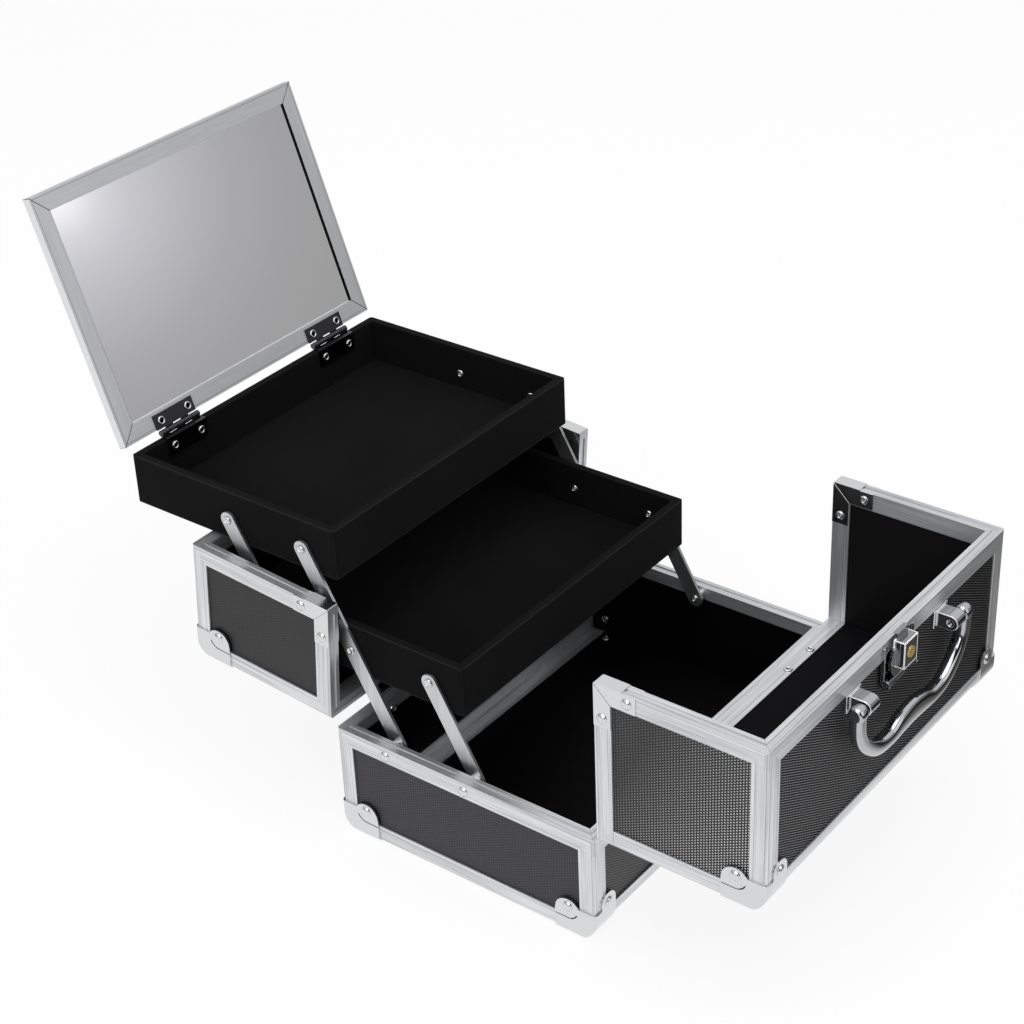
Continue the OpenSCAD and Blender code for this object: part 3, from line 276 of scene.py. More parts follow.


# A plating with painted shade, near black, down a bore, and a painted highlight along the corners of a box where one is
# given
def makeChromePlate(name, s, corners=None):
    material, tree, shader = newMaterial(name, {"Metallic": 1.0})
    haze = addNode(tree, "ShaderNodeTexNoise", {"Scale": 1 / s["hazeMm"], "Detail": 3.0}, {"Vector": position(tree)})
    rough = maths(tree, "MULTIPLY_ADD", haze.outputs[0], s["haze"], s["roughness"])
    bore = addNode(tree, "ShaderNodeAttribute", {"attribute_name": "bore"}).outputs["Fac"]
    # The bore goes near black: painted shade
    tone = mixed(tree, bore, linear(s["colour"]), linear("#08080a"))
    if corners:
        edgeHighlight = cornerHighlight(tree, corners)
        rough = maths(tree, "MULTIPLY_ADD", edgeHighlight, corners["roughness"], rough)
        tone = mixed(tree, edgeHighlight, tone, linear(corners["colour"]))
        tree.links.new(maths(tree, "MULTIPLY_ADD", edgeHighlight, -corners["dull"], 1.0), shader.inputs["Metallic"])
    tree.links.new(rough, shader.inputs["Roughness"])
    tree.links.new(tone, shader.inputs["Base Color"])
    return material


# The nickel on the folded plates of a lid's open corners, with the crease pressed across them and darkened by painted
# shade
foldCrease = {"colour": "#4a4b4d", "tone": 0.6, "acrossMm": 1 / 3, "bumpMm": 0.15}


def makeFoldedPlate(name, box):
    s = nickelPlate
    material, tree, shader = newMaterial(name, {"Metallic": 1.0, "Roughness": s["roughness"]})
    d = faceDistances(tree, box)[1]
    across = maths(tree, "ABSOLUTE", maths(tree, "SUBTRACT", d[1], d[2]))
    crease = maths(tree, "MULTIPLY_ADD", across, -1 / foldCrease["acrossMm"], 1.0, clamp=True)
    # The crease's darkening is painted shade
    dark = maths(tree, "MULTIPLY", crease, foldCrease["tone"])
    tree.links.new(mixed(tree, dark, linear(s["colour"]), linear(foldCrease["colour"])), shader.inputs["Base Color"])
    bumped(tree, shader, crease, foldCrease["bumpMm"])
    return material


# Embossed black laminate: PVC skin pressed with staggered dots, whose rows show as fine lines of painted highlight
#  on the dots, over plain black lining inside
embossedLaminate = {"roughness": 0.5, "deepMm": 0.1, "skinMm": 1.5, "facing": 0.7, "steep": 0.5, "dimmest": 0.1,
                    "liningGloss": 0.2}
# Waves of the dot pattern, as cycles a millimetre along and up the face with their weight, and the level they start at
dotPatterns = {"even": (((0.70, 0.0, 1.0), (0.35, 0.70, 1.0), (-0.35, 0.70, 1.0)), -0.1),
               "lined": (((0.70, 0.0, 0.25), (0.35, 0.70, 2.2), (-0.35, 0.70, 0.25)), -0.1),
               "fine": (((0.75, 0.0, 0.3), (0.41, 0.765, 2.9), (-0.34, 0.765, 0.3)), -0.8)}


# Grow gives the painted light on the dots along X, Y and Z, a millimetre each, and its start
def makeEmbossedLaminate(name, box, colour, dotHighlight, lining, pattern, gloss=0.45, grow=(0.0, 0.0, 0.0, 1.0)):
    s = embossedLaminate
    material, tree, shader = newMaterial(name, {"Roughness": s["roughness"]})
    place, d = faceDistances(tree, box)
    at = addNode(tree, "ShaderNodeSeparateXYZ", None, {0: place}).outputs
    facing = addNode(tree, "ShaderNodeTexCoord").outputs["Normal"]
    side, _, level = [maths(tree, "GREATER_THAN", maths(tree, "ABSOLUTE", value), s["facing"])
                      for value in addNode(tree, "ShaderNodeSeparateXYZ", None, {0: facing}).outputs]
    across = maths(tree, "MULTIPLY_ADD", side, maths(tree, "SUBTRACT", at[1], at[0]), at[0])
    up = maths(tree, "MULTIPLY_ADD", level, maths(tree, "SUBTRACT", at[1], at[2]), at[2])
    wave = 0.0
    waves, start = dotPatterns[pattern]
    for a, b, weight in waves:
        turn = maths(tree, "MULTIPLY_ADD", across, 2 * math.pi * a, maths(tree, "MULTIPLY", up, 2 * math.pi * b))
        wave = maths(tree, "MULTIPLY_ADD", maths(tree, "COSINE", turn), weight, wave)
    raised = maths(tree, "MULTIPLY_ADD", wave, s["steep"], start, clamp=True)
    light = maths(tree, "MULTIPLY_ADD", at[0], grow[0], grow[3])
    for i in (1, 2):
        light = maths(tree, "MULTIPLY_ADD", at[i], grow[i], light)
    light = maths(tree, "MAXIMUM", maths(tree, "MINIMUM", light, 1.0), s["dimmest"])
    # The dots' lighter colour is painted highlight, dimmed across the panel by painted light
    shown = maths(tree, "MULTIPLY", raised, light)
    inside = maths(tree, "GREATER_THAN", inOrder(tree, d)[0], s["skinMm"])
    skin = mixed(tree, shown, linear(colour), linear(dotHighlight))
    tree.links.new(mixed(tree, inside, skin, linear(lining)), shader.inputs["Base Color"])
    shine = maths(tree, "MULTIPLY_ADD", inside, (s["liningGloss"] - 1) * gloss, gloss)
    tree.links.new(shine, shader.inputs["Specular IOR Level"])
    bumped(tree, shader, maths(tree, "MULTIPLY", raised, maths(tree, "SUBTRACT", 1.0, inside)), s["deepMm"], 0.6)
    return material


# Flocked board of trays and lining: very dark, soft, a little lighter at grazing angles
flockedBoard = {"colour": "#040405", "fleck": "#121214", "edgeHighlight": "#26262a", "highlightMm": 0.9, "fibreMm": 0.5,
                "patchMm": 50.0, "sheen": 0.035, "bumpMm": 0.15}


# The tray's corners and rims, given by its box, are lighter: a painted highlight
def makeFlockedBoard(name, node):
    s = flockedBoard
    low, high = (np.array(c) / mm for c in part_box(node))
    box = {"centre": tuple((low + high) / 2), "half": tuple((high - low) / 2), "tilt": 0.0}
    material, tree, shader = newMaterial(name, {"Roughness": 0.95, "Specular IOR Level": 0.05,
                                                "Sheen Weight": s["sheen"], "Sheen Roughness": 0.5})
    fibres = addNode(tree, "ShaderNodeTexNoise", {"Scale": 1 / s["fibreMm"], "Detail": 3.0, "Roughness": 0.7},
                     {"Vector": position(tree)})
    patch = addNode(tree, "ShaderNodeTexNoise", {"Scale": 1 / s["patchMm"], "Detail": 2.0}, {"Vector": position(tree)})
    tone = maths(tree, "MULTIPLY", fibres.outputs[0], maths(tree, "MULTIPLY", patch.outputs[0], 1.6), clamp=True)
    second = inOrder(tree, faceDistances(tree, box)[1])[1]
    # Painted highlight along the corners and rims
    edgeHighlight = maths(tree, "MULTIPLY_ADD", second, -1 / s["highlightMm"], 1.0, clamp=True)
    edgeHighlight = maths(tree, "MULTIPLY", edgeHighlight, maths(tree, "MULTIPLY", fibres.outputs[0], 1.4))
    cloth = mixed(tree, tone, linear(s["colour"]), linear(s["fleck"]))
    tree.links.new(mixed(tree, edgeHighlight, cloth, linear(s["edgeHighlight"])), shader.inputs["Base Color"])
    bumped(tree, shader, fibres.outputs[0], s["bumpMm"], 0.5)
    return material


# Silvered float glass: a plain, neutral mirror
def makeSilveredGlass():
    material, tree, shader = newMaterial("silveredGlass", {"Metallic": 1.0, "Roughness": 0.02})
    film = addNode(tree, "ShaderNodeTexNoise", {"Scale": 0.01, "Detail": 2.0}, {"Vector": position(tree)})
    tree.links.new(mixed(tree, film.outputs[0], linear("#fbfbfc"), linear("#f7f7f8")), shader.inputs["Base Color"])
    return material


# Turned brass key cylinder: polished, with a fine mottled tone and bump
def makeTurnedBrass():
    material, tree, shader = newMaterial("turnedBrass", {"Metallic": 0.8, "Roughness": 0.22})
    tone = addNode(tree, "ShaderNodeTexNoise", {"Scale": 0.8, "Detail": 2.0}, {"Vector": position(tree)})
    tree.links.new(mixed(tree, tone.outputs[0], linear("#ffe8a0"), linear("#f2cb6c")), shader.inputs["Base Color"])
    bumped(tree, shader, tone.outputs[0], 0.02, 0.3)
    return material


# Hardboard behind the glass, dull black with a coarse fibre
def makeHardboard():
    material, tree, shader = newMaterial("hardboard", {"Roughness": 0.8})
    fibre = addNode(tree, "ShaderNodeTexNoise", {"Scale": 0.6, "Detail": 5.0}, {"Vector": position(tree)})
    tree.links.new(mixed(tree, fibre.outputs[0], linear("#161617"), linear("#262628")), shader.inputs["Base Color"])
    bumped(tree, shader, fibre.outputs[0], 0.1, 0.4)
    return material


baseTrim = makeSatinAluminium("satinAluminiumBase", base)
frontTrim = makeSatinAluminium("satinAluminiumFrontLid", frontLid)
rearTrim = makeSatinAluminium("satinAluminiumRearLid", rearLid)
armStrip = makeBrushedStrip("brushedStripArms", 2)
mirrorStrip = makeMirrorBars()
chrome = makeChromePlate("chromePlate", chromePlate)
lockChrome = makeChromePlate("chromePlateLock", shadedLockChrome)
leverChrome = makeChromePlate("chromePlateLever", shadedLockChrome, lockBox)
bevelHighlight = makeChromePlate("highlightedBevel", highlightedBevel)
nickel = makeChromePlate("nickelPlate", nickelPlate)
folded = {"front_lid": makeFoldedPlate("nickelPlateFrontFold", frontLid),
          "rear_lid": makeFoldedPlate("nickelPlateRearFold", rearLid)}
darkSteel = makeChromePlate("blackNickelHinge", blackNickel)
# Each panel takes its own lighter or darker copy of the one laminate, by how the light falls on it: painted light and
# shade. The base's lining is darker than the lids': painted shade
baseLining, lidLining = "#060607", "#121214"
faces = {"base": makeEmbossedLaminate("embossedLaminateBase", base, "#050506", "#5a5a5e", baseLining, "lined"),
         "front_lid": makeEmbossedLaminate("embossedLaminateFront", frontLid, "#010102", "#aeaeb2", lidLining, "fine",
                                           0.08, (-0.003, 0.0, 0.0, 0.6)),
         "rear_lid": makeEmbossedLaminate("embossedLaminateRear", rearLid, "#050506", "#5a5a5e", lidLining, "lined")}
sides = {"base": makeEmbossedLaminate("embossedLaminateBaseSides", base, "#1b1b1f", "#3c3c42", baseLining, "even"),
         "front_lid": makeEmbossedLaminate("embossedLaminateFrontSides", frontLid, "#0c0c10", "#f4f4f6", lidLining,
                                           "even", 0.45, (0.0, -0.0085, -0.005, -0.15)),
         "rear_lid": makeEmbossedLaminate("embossedLaminateRearSides", rearLid, "#101013", "#28282d", lidLining,
                                          "even")}
flocks = {node: makeFlockedBoard("flockedBoard" + node[:5].capitalize(), node)
          for node in ("lower_tray", "upper_tray")}
silver = makeSilveredGlass()
brass = makeTurnedBrass()
hardboard = makeHardboard()
trims = {"base": baseTrim, "front_lid": frontTrim, "rear_lid": rearTrim}
print("materials made")


# The finish of a node, by its body and slot
def materialFor(node):
    body, slot = bodyOf[node], slotOf[node]
    if slot == "laminate_panel":
        return (sides if node.endswith(("left_wall", "right_wall", "left_side", "right_side")) else faces)[body]
    if slot == "aluminium_trim":
        return trims.get(body) or (mirrorStrip if body == "mirror" else armStrip)
    if slot == "chrome":
        if "corner_plates" in node:
            return folded[body]
        if "ball_corners" in node or node.endswith("rivets"):
            return nickel
        if node.startswith("lock_"):
            return leverChrome if node == "lock_lever" else lockChrome
        return darkSteel if "hinge" in node else chrome
    return {"tray_flock": flocks.get(node), "mirror_glass": silver, "brass": brass, "backing_board": hardboard}[slot]


# How edges are eased: points closer than weld are one, faces within flat of each other are one plane, and edges
# sharper than angle get a bevel
easing = {"weldMm": 0.002, "flat": math.radians(0.5), "angle": math.radians(32), "segments": 2}


# A merged copy of a node with eased edges, standing for it. The lock's polished castings are shaded flat, and the
#  corners of lock and brackets get a painted highlight
def easedCopy(node, widthMm):
    mesh = nodes[node].data.copy()
    mesh.name = node + "_eased"
    work = bmesh.new()
    work.from_mesh(mesh)
    bmesh.ops.remove_doubles(work, verts=work.verts, dist=easing["weldMm"] * mm)
    bmesh.ops.dissolve_limit(work, angle_limit=easing["flat"], verts=work.verts, edges=work.edges)
    work.to_mesh(mesh)
    work.free()
    piece = addObject(node + "_eased", mesh)
    mesh.materials.clear()
    mesh.materials.append(materialFor(node))
    for polygon in mesh.polygons:
        polygon.material_index = 0
        polygon.use_smooth = not node.startswith("lock_")
    bevel = piece.modifiers.new("easedEdges", "BEVEL")
    bevel.width = widthMm * mm
    bevel.segments = easing["segments"]
    bevel.limit_method = "ANGLE"
    bevel.angle_limit = easing["angle"]
    bevel.use_clamp_overlap = True
    # The bevels of lock and brackets take the painted highlight
    if node.startswith(("lock_", "handle_brackets")):
        mesh.materials.append(bevelHighlight)
        bevel.material = 1
    weighted = piece.modifiers.new("flatFaces", "WEIGHTED_NORMAL")
    weighted.keep_sharp = True
    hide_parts(node)
    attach(piece, bodyOf[node])


# Width of the eased edges in mm
easedEdges = {
    "base_rim": 0.25, "front_lid_rim": 0.25, "rear_lid_rim": 0.25, "base_long_edges": 0.2, "base_side_edges": 0.2,
    "base_corner_posts": 0.2, "front_lid_long_edge": 0.2, "front_lid_edge_trims": 0.2, "rear_lid_long_edge": 0.2,
    "rear_lid_edge_trims": 0.2, "long_arms": 0.25, "front_short_arms": 0.25, "rear_short_arms": 0.25,
    "mirror_frame": 0.4, "lower_tray": 0.7, "upper_tray": 0.7, "handle_brackets": 0.35, "lock_plate": 0.15,
    "lock_lever": 0.3, "lock_strike": 0.1, "base_ball_corners": 0.15, "front_lid_ball_corners": 0.15,
    "rear_lid_ball_corners": 0.15, "front_lid_corner_plates": 0.1, "rear_lid_corner_plates": 0.1,
    "front_hinge_base_leaves": 0.12, "rear_hinge_base_leaves": 0.12, "front_hinge_lid_leaves": 0.12,
    "rear_hinge_lid_leaves": 0.12, "mirror_hinge_tray_leaves": 0.12, "mirror_hinge_mirror_leaves": 0.12,
}
for name, width in easedEdges.items():
    easedCopy(name, width)
print("edges eased")


# Turns a profile of (radius, height) in mm about Z; its last rings may line a bore
def lathe(name, profile, segments, bore=0):
    work = bmesh.new()
    depth = work.verts.layers.float.new("bore")
    rings = []
    for radius, height in profile:
        if radius == 0:
            rings.append([work.verts.new((0, 0, height * mm))])
            continue
        rings.append([work.verts.new((radius * mm * math.cos(a), radius * mm * math.sin(a), height * mm))
                      for a in (2 * math.pi * k / segments for k in range(segments))])
    for low, high in zip(rings, rings[1:]):
        for k in range(segments):
            n = (k + 1) % segments
            corners = [low[k % len(low)], low[n % len(low)], high[n % len(high)], high[k % len(high)]]
            work.faces.new(list(dict.fromkeys(corners)))
    for ring in rings[len(rings) - bore:]:
        for vert in ring:
            vert[depth] = 1.0
    mesh = bpy.data.meshes.new(name)
    work.normal_update()
    work.to_mesh(mesh)
    work.free()
    return mesh


# Outlines in mm of the ends that show: pressed dome, dimpled head, tubular head whose bore takes painted shade, a head
#  that lies flush, and the rolled tail inside a wall
headProfiles = {
    "dome": [(2.6, 0.0), (2.62, 0.12), (2.52, 0.3), (2.3, 0.4), (2.12, 0.62), (1.72, 0.92), (1.1, 1.12), (0.5, 1.19),
             (0, 1.2)],
    "dimpled": [(2.0, 0.0), (2.15, 0.14), (2.12, 0.45), (1.95, 0.72), (1.65, 0.82), (1.4, 0.74), (1.2, 0.5),
                (1.05, 0.4), (0, 0.34)],
    "tubular": [(2.0, 0.0), (2.15, 0.14), (2.12, 0.45), (1.95, 0.72), (1.65, 0.82), (1.4, 0.74), (1.22, 0.46),
                (1.16, 0.0), (1.1, -0.9), (0, -1.0)],
    "flush": [(2.6, -0.8), (2.6, -0.04), (2.5, 0.0), (0, 0.0)],
}
rolledTail = [(0, 1.5), (0.78, 1.4), (0.86, 0.4), (1.05, 0.1), (1.4, 0.0), (1.8, 0.04), (2.1, 0.22), (2.2, 0.7)]
rivetShape = {"head": 1.2, "boreRings": 3, "segments": 24, "sharp": math.radians(50)}


# Geometry Nodes tree that puts one rivet on each point, turned to its facing and rolled a little about itself
def makeRivetTree():
    tree = bpy.data.node_groups.new("rivetRow", "GeometryNodeTree")
    face = tree.interface
    for name, kind in (("Points", "Geometry"), ("Rivet", "Object"), ("Finish", "Material")):
        face.new_socket(name, in_out="INPUT", socket_type="NodeSocket" + kind)
    face.new_socket("Rivets", in_out="OUTPUT", socket_type="NodeSocketGeometry")
    inputs = addNode(tree, "NodeGroupInput").outputs
    rivet = addNode(tree, "GeometryNodeObjectInfo", None, {"Object": inputs["Rivet"]})
    facing = addNode(tree, "GeometryNodeInputNamedAttribute", {"data_type": "FLOAT_VECTOR", "Name": "facing"})
    turn = addNode(tree, "FunctionNodeAlignRotationToVector", {"axis": "Z"}, {"Vector": facing.outputs[0]})
    roll = addNode(tree, "FunctionNodeRandomValue", {"data_type": "FLOAT", 2: 0.0, 3: 6.28, "Seed": 4})
    spin = addNode(tree, "ShaderNodeCombineXYZ", None, {"Z": roll.outputs[1]})
    placed = addNode(tree, "GeometryNodeInstanceOnPoints", None,
                     {"Points": inputs["Points"], "Instance": rivet.outputs["Geometry"], "Rotation": turn.outputs[0]})
    rolled = addNode(tree, "GeometryNodeRotateInstances", {"Local Space": True},
                     {"Instances": placed.outputs[0], "Rotation": spin.outputs[0]})
    real = addNode(tree, "GeometryNodeRealizeInstances", None, {0: rolled.outputs[0]})
    finished = addNode(tree, "GeometryNodeSetMaterial", None,
                       {"Geometry": real.outputs[0], "Material": inputs["Finish"]})
    addNode(tree, "NodeGroupOutput", None, {0: finished.outputs[0]})
    return tree


rivetTree = makeRivetTree()
rivetInputs = {item.name: item.identifier for item in rivetTree.interface.items_tree if item.in_out == "INPUT"}


# How a rivet of the frame is read, in mm: points this close to an end belong to it, an end with a point on the
# axis is domed, a flush head is wide, a tail wider than a shank is rolled
reading = {"end": 0.03, "domed": 0.4, "wide": 2.4, "seat": 0.05, "rolled": 2.1, "shank": 1.5}


# Each rivet of a node: head seat, facing, and its outline from the tail to the seat
def rivetsOf(node):
    work = bmesh.new()
    work.from_mesh(nodes[node].data)
    bmesh.ops.remove_doubles(work, verts=work.verts, dist=easing["weldMm"] * mm)
    todo = set(work.verts)
    found = []
    while todo:
        part, edge = [], [todo.pop()]
        while edge:
            vert = edge.pop()
            part.append(np.array(vert.co) / mm)
            for link in vert.link_edges:
                other = link.other_vert(vert)
                if other in todo:
                    todo.remove(other)
                    edge.append(other)
        part = np.array(part)
        centre = part.mean(0)
        values, vectors = np.linalg.eigh(np.cov((part - centre).T))
        gaps = [abs(values[1] - values[2]), abs(values[0] - values[2]), abs(values[0] - values[1])]
        axis = vectors[:, int(np.argmin(gaps))]
        along = (part - centre) @ axis
        radius = np.linalg.norm((part - centre) - np.outer(along, axis), axis=1)
        ends = radius[along < along.min() + reading["end"]], radius[along > along.max() - reading["end"]]
        domed = [end.min() < reading["domed"] for end in ends]
        flush = not any(domed)
        if not (domed[1] or (flush and ends[1].max() > reading["wide"])):
            axis, along = -axis, -along
        along = along - along.min()
        seat = along.max() - (0 if flush else rivetShape["head"])
        levels = {}
        for a, r in zip(along, radius):
            if a < seat + reading["seat"]:
                levels.setdefault(round(float(a), 1), set()).add(round(float(r), 1))
        outline, now = [], None
        for a in sorted(levels):
            wide = sorted(levels[a])
            if now is None:
                now = wide[-1]
                outline.append((now, a))
            elif len(wide) > 1:
                other = max(wide, key=lambda r: abs(r - now))
                outline += [(now, a), (other, a)]
                now = other
        outline = [(r, a - seat) for r, a in outline if a < seat - reading["seat"]] + [(reading["shank"], 0.0)]
        if outline[0][0] > reading["rolled"]:
            outline = [(r, a - seat) for r, a in rolledTail] + outline[2:]
        place = centre + axis * (float((part @ axis).min() - centre @ axis) + seat)
        found.append((place * mm, axis, tuple((round(r, 2), round(a, 1)) for r, a in outline), flush))
    work.free()
    return found


# One mesh for a rivet node, its heads drawn finely
def fineRivets(node, kind):
    groups = {}
    for place, axis, outline, flush in rivetsOf(node):
        groups.setdefault((outline, flush), []).append((place, axis))
    whole = bmesh.new()
    finish = materialFor(node)
    for (outline, flush), places in groups.items():
        shape = "flush" if flush else kind
        bore = rivetShape["boreRings"] if shape == "tubular" else 0
        profile = list(outline) + headProfiles[shape]
        rivet = addObject("oneRivet", lathe("oneRivet", profile, rivetShape["segments"], bore))
        mesh = bpy.data.meshes.new("rivetPoints")
        mesh.from_pydata([tuple(p) for p, _ in places], [], [])
        facing = mesh.attributes.new("facing", "FLOAT_VECTOR", "POINT")
        facing.data.foreach_set("vector", np.array([a for _, a in places], np.float32).ravel())
        row = addObject("rivetRow", mesh)
        modifier = row.modifiers.new("rivets", "NODES")
        modifier.node_group = rivetTree
        modifier[rivetInputs["Rivet"]] = rivet
        modifier[rivetInputs["Finish"]] = finish
        bpy.context.view_layer.update()
        made = bpy.data.meshes.new_from_object(row.evaluated_get(bpy.context.evaluated_depsgraph_get()))
        whole.from_mesh(made)
        for used in (row, rivet):
            bpy.data.objects.remove(used)
    mesh = bpy.data.meshes.new(node + "_fine")
    bmesh.ops.recalc_face_normals(whole, faces=whole.faces)
    whole.to_mesh(mesh)
    whole.free()
    mesh.materials.append(finish)
    for polygon in mesh.polygons:
        polygon.material_index = 0
        polygon.use_smooth = True
    mesh.set_sharp_from_angle(angle=rivetShape["sharp"])
    piece = addObject(node + "_fine", mesh)
    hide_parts(node)
    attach(piece, bodyOf[node])


rivetKinds = {"base_rivets": "dome", "base_pivot_rivets": "dome", "front_lid_rivets": "dome", "rear_lid_rivets": "dome",
              "lower_tray_rivets": "dimpled", "upper_tray_rivets": "dimpled", "mirror_hinge_rivets": "tubular",
              "mirror_leaf_rivets": "tubular"}
for name, kind in rivetKinds.items():
    fineRivets(name, kind)
print("rivets made")


# The handle: a cast bail drawn as one smooth bar, with rounded eyes on its pins. Half of it is given as the share of
# the limb's distance from the middle, the height above the pins and the width, in mm
bail = {"half": ((0.0, -26, 11), (0.2, -26.8, 10), (0.42, -28.4, 7.2), (0.66, -26.6, 7.2), (0.88, -19.2, 7)),
        "foot": (0.4, -10.7, 6.4), "steps": 14, "ring": 28, "square": 0.72, "eyeWide": 6.4, "eyeOver": 0.5,
        "eyeRound": 1.6, "eyeSegments": 40, "arcSteps": 5, "pinRadius": 1.5, "lugWide": 7.8, "gap": 0.6,
        "shortOfLug": 1.0, "sharp": math.radians(45)}


# A curve through the points, with steps from each to the next
def smoothCurve(points, steps):
    line = []
    last = len(points) - 1
    for i in range(last):
        a, b, c, d = (np.array(points[min(max(k, 0), last)]) for k in (i - 1, i, i + 1, i + 2))
        for k in range(steps):
            t = k / steps
            line.append(0.5 * (2 * b + (c - a) * t + (2 * a - 5 * b + 4 * c - d) * t * t
                               + (3 * b - a - 3 * c + d) * t ** 3))
    line.append(np.array(points[-1]))
    return line


def makeBail():
    low, high = (np.array(c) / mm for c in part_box("handle"))
    thick = (high[1] - low[1]) - 2 * bail["eyeOver"]
    middle = (low + high) / 2
    limb = (high[0] - low[0]) / 2 - bail["eyeWide"] / 2
    axisZ = high[2] - thick / 2 - bail["eyeOver"]
    inwards, footZ, footWide = bail["foot"]
    half = [(share * limb, z, wide) for share, z, wide in bail["half"]]
    half += [(limb - inwards, footZ, footWide), (limb, 0, footWide)]
    line = smoothCurve([(-x, y, w) for x, y, w in half[:0:-1]] + half, bail["steps"])
    work = bmesh.new()
    rings = []
    for i, (x, y, wide) in enumerate(line):
        before, after = line[max(i - 1, 0)], line[min(i + 1, len(line) - 1)]
        run = np.array([after[0] - before[0], after[1] - before[1]])
        run /= np.linalg.norm(run)
        ring = []
        for k in range(bail["ring"]):
            angle = 2 * math.pi * k / bail["ring"]
            out, deep = (math.copysign(abs(v) ** bail["square"], v) for v in (math.cos(angle), math.sin(angle)))
            ring.append(work.verts.new(((middle[0] + x - run[1] * out * wide / 2) * mm,
                                        (middle[1] + deep * thick / 2) * mm,
                                        (axisZ + y + run[0] * out * wide / 2) * mm)))
        rings.append(ring)
    for one, two in zip(rings, rings[1:]):
        for k in range(bail["ring"]):
            n = (k + 1) % bail["ring"]
            work.faces.new((one[k], two[k], two[n], one[n]))
    work.faces.new(rings[0])
    work.faces.new(rings[-1][::-1])
    radius, wide, soft = thick / 2 + bail["eyeOver"], bail["eyeWide"], bail["eyeRound"]
    side = [(radius - soft + o, -wide / 2 + soft - math.sqrt(max(soft * soft - o * o, 0)))
            for o in (soft * k / bail["arcSteps"] for k in range(bail["arcSteps"] + 1))]
    inner = wide / 2 + bail["gap"] + bail["lugWide"] - bail["shortOfLug"]
    eye = [(0, -wide / 2)] + side + [(r, -h) for r, h in side[::-1]]
    eye += [(bail["pinRadius"], wide / 2), (bail["pinRadius"], inner), (0, inner)]
    for turn in (-1, 1):
        part = lathe("eye", eye, bail["eyeSegments"])
        part.transform(Matrix.Translation(Vector((middle[0] + turn * limb, middle[1], axisZ)) * mm)
                       @ Matrix.Rotation(-turn * math.pi / 2, 4, "Y"))
        work.from_mesh(part)
    bmesh.ops.recalc_face_normals(work, faces=work.faces)
    mesh = bpy.data.meshes.new("castBail")
    work.to_mesh(mesh)
    work.free()
    mesh.materials.append(chrome)
    for polygon in mesh.polygons:
        polygon.use_smooth = True
    mesh.set_sharp_from_angle(angle=bail["sharp"])
    piece = addObject("castBail", mesh)
    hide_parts("handle")
    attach(piece, "handle")


makeBail()
print("handle made")

# The nodes that keep their own mesh take their finish here
for name, item in nodes.items():
    if name in easedEdges or name in rivetKinds or name == "handle":
        continue
    item.data.materials.clear()
    item.data.materials.append(materialFor(name))
print("frame nodes finished")


# Camera at the photograph's viewing angle, found by fitting the case's corners to it; place in mm
cameraFit = {"focalPx": 2246.19, "widePx": 1024, "sensorMm": 36.0, "clip": (0.01, 50),
             "place": (-705.39, -519.05, 678.42),
             "right": (0.60435691, -0.7957756, -0.03865128), "down": (-0.43176458, -0.28636291, -0.85532194),
             "ahead": (0.66957604, 0.53360798, -0.51665313)}


def makeCamera():
    data = bpy.data.cameras.new("photoCamera")
    data.sensor_width = cameraFit["sensorMm"]
    data.lens = cameraFit["focalPx"] / cameraFit["widePx"] * data.sensor_width
    data.clip_start, data.clip_end = cameraFit["clip"]
    camera = addObject("photoCamera", data)
    right, down, ahead = (Vector(cameraFit[k]) for k in ("right", "down", "ahead"))
    turn = Matrix((right, -down, -ahead)).transposed().to_4x4()
    camera.matrix_world = Matrix.Translation(Vector(cameraFit["place"]) * mm) @ turn
    bpy.context.scene.camera = camera


# Soft lamps by name: watts, size in m and place, all aimed at the middle of the case
lamps = {"overheadSoftbox": (9.0, 1.4, (-0.3, -0.2, 1.7)), "leftSoftbox": (7.0, 1.0, (-1.5, -0.3, 0.9)),
         "frontFill": (3.0, 1.2, (0.4, -1.8, 0.7))}
lampAim = (0, 0, 0.1)


def makeLamps():
    for name, (watts, size, place) in lamps.items():
        data = bpy.data.lights.new(name, "AREA")
        data.energy = watts
        data.size = size
        lamp = addObject(name, data)
        lamp.location = place
        lamp.rotation_euler = (Vector(lampAim) - Vector(place)).to_track_quat("-Z", "Y").to_euler()


# White to the camera. Shiny metal sees a white tent with a grey band low down, the dark opening around the
# camera, and a lamp near the horizon that lights the mirror's far corner
worldLight = {"diffuse": "#ececec", "strength": 0.85, "opening": (-0.67, -0.53, 0.52),
              "lamp": (0.5885, -0.793, 0.1558), "lampEdge": (0.42, 0.26)}
heightStops = [(0.0, "#ffffff"), (0.47, "#f4f4f4"), (0.5, "#5a5a5c"), (0.515, "#2a2a2b"), (0.535, "#38383a"),
               (0.555, "#a0a0a2"), (0.63, "#9c9c9e"), (0.7, "#efefef"), (1.0, "#ffffff")]
openingStops = [(0.0, "#ffffff"), (0.80, "#ffffff"), (0.89, "#4a4644"), (0.95, "#161412"), (1.0, "#100f0e")]
lampStops = [(0.0, "#ffffff"), (0.005, "#fdfdfd"), (0.012, "#ececef"), (0.02, "#dadade"), (0.032, "#cbcbd0"),
             (0.046, "#c1c1c5"), (0.06, "#b8b8bb"), (0.075, "#aeaeb0"), (0.1, "#a5a5a6"), (0.13, "#a0a0a0"),
             (1.0, "#a0a0a0")]


# A value turned into a colour by stops of place and colour
def colourRamp(tree, value, stops):
    ramp = addNode(tree, "ShaderNodeValToRGB", None, {0: value})
    elements = ramp.color_ramp.elements
    elements.remove(elements[1])
    elements[0].position, elements[0].color = stops[0][0], linear(stops[0][1])
    for at, colour in stops[1:]:
        elements.new(at).color = linear(colour)
    return ramp.outputs[0]


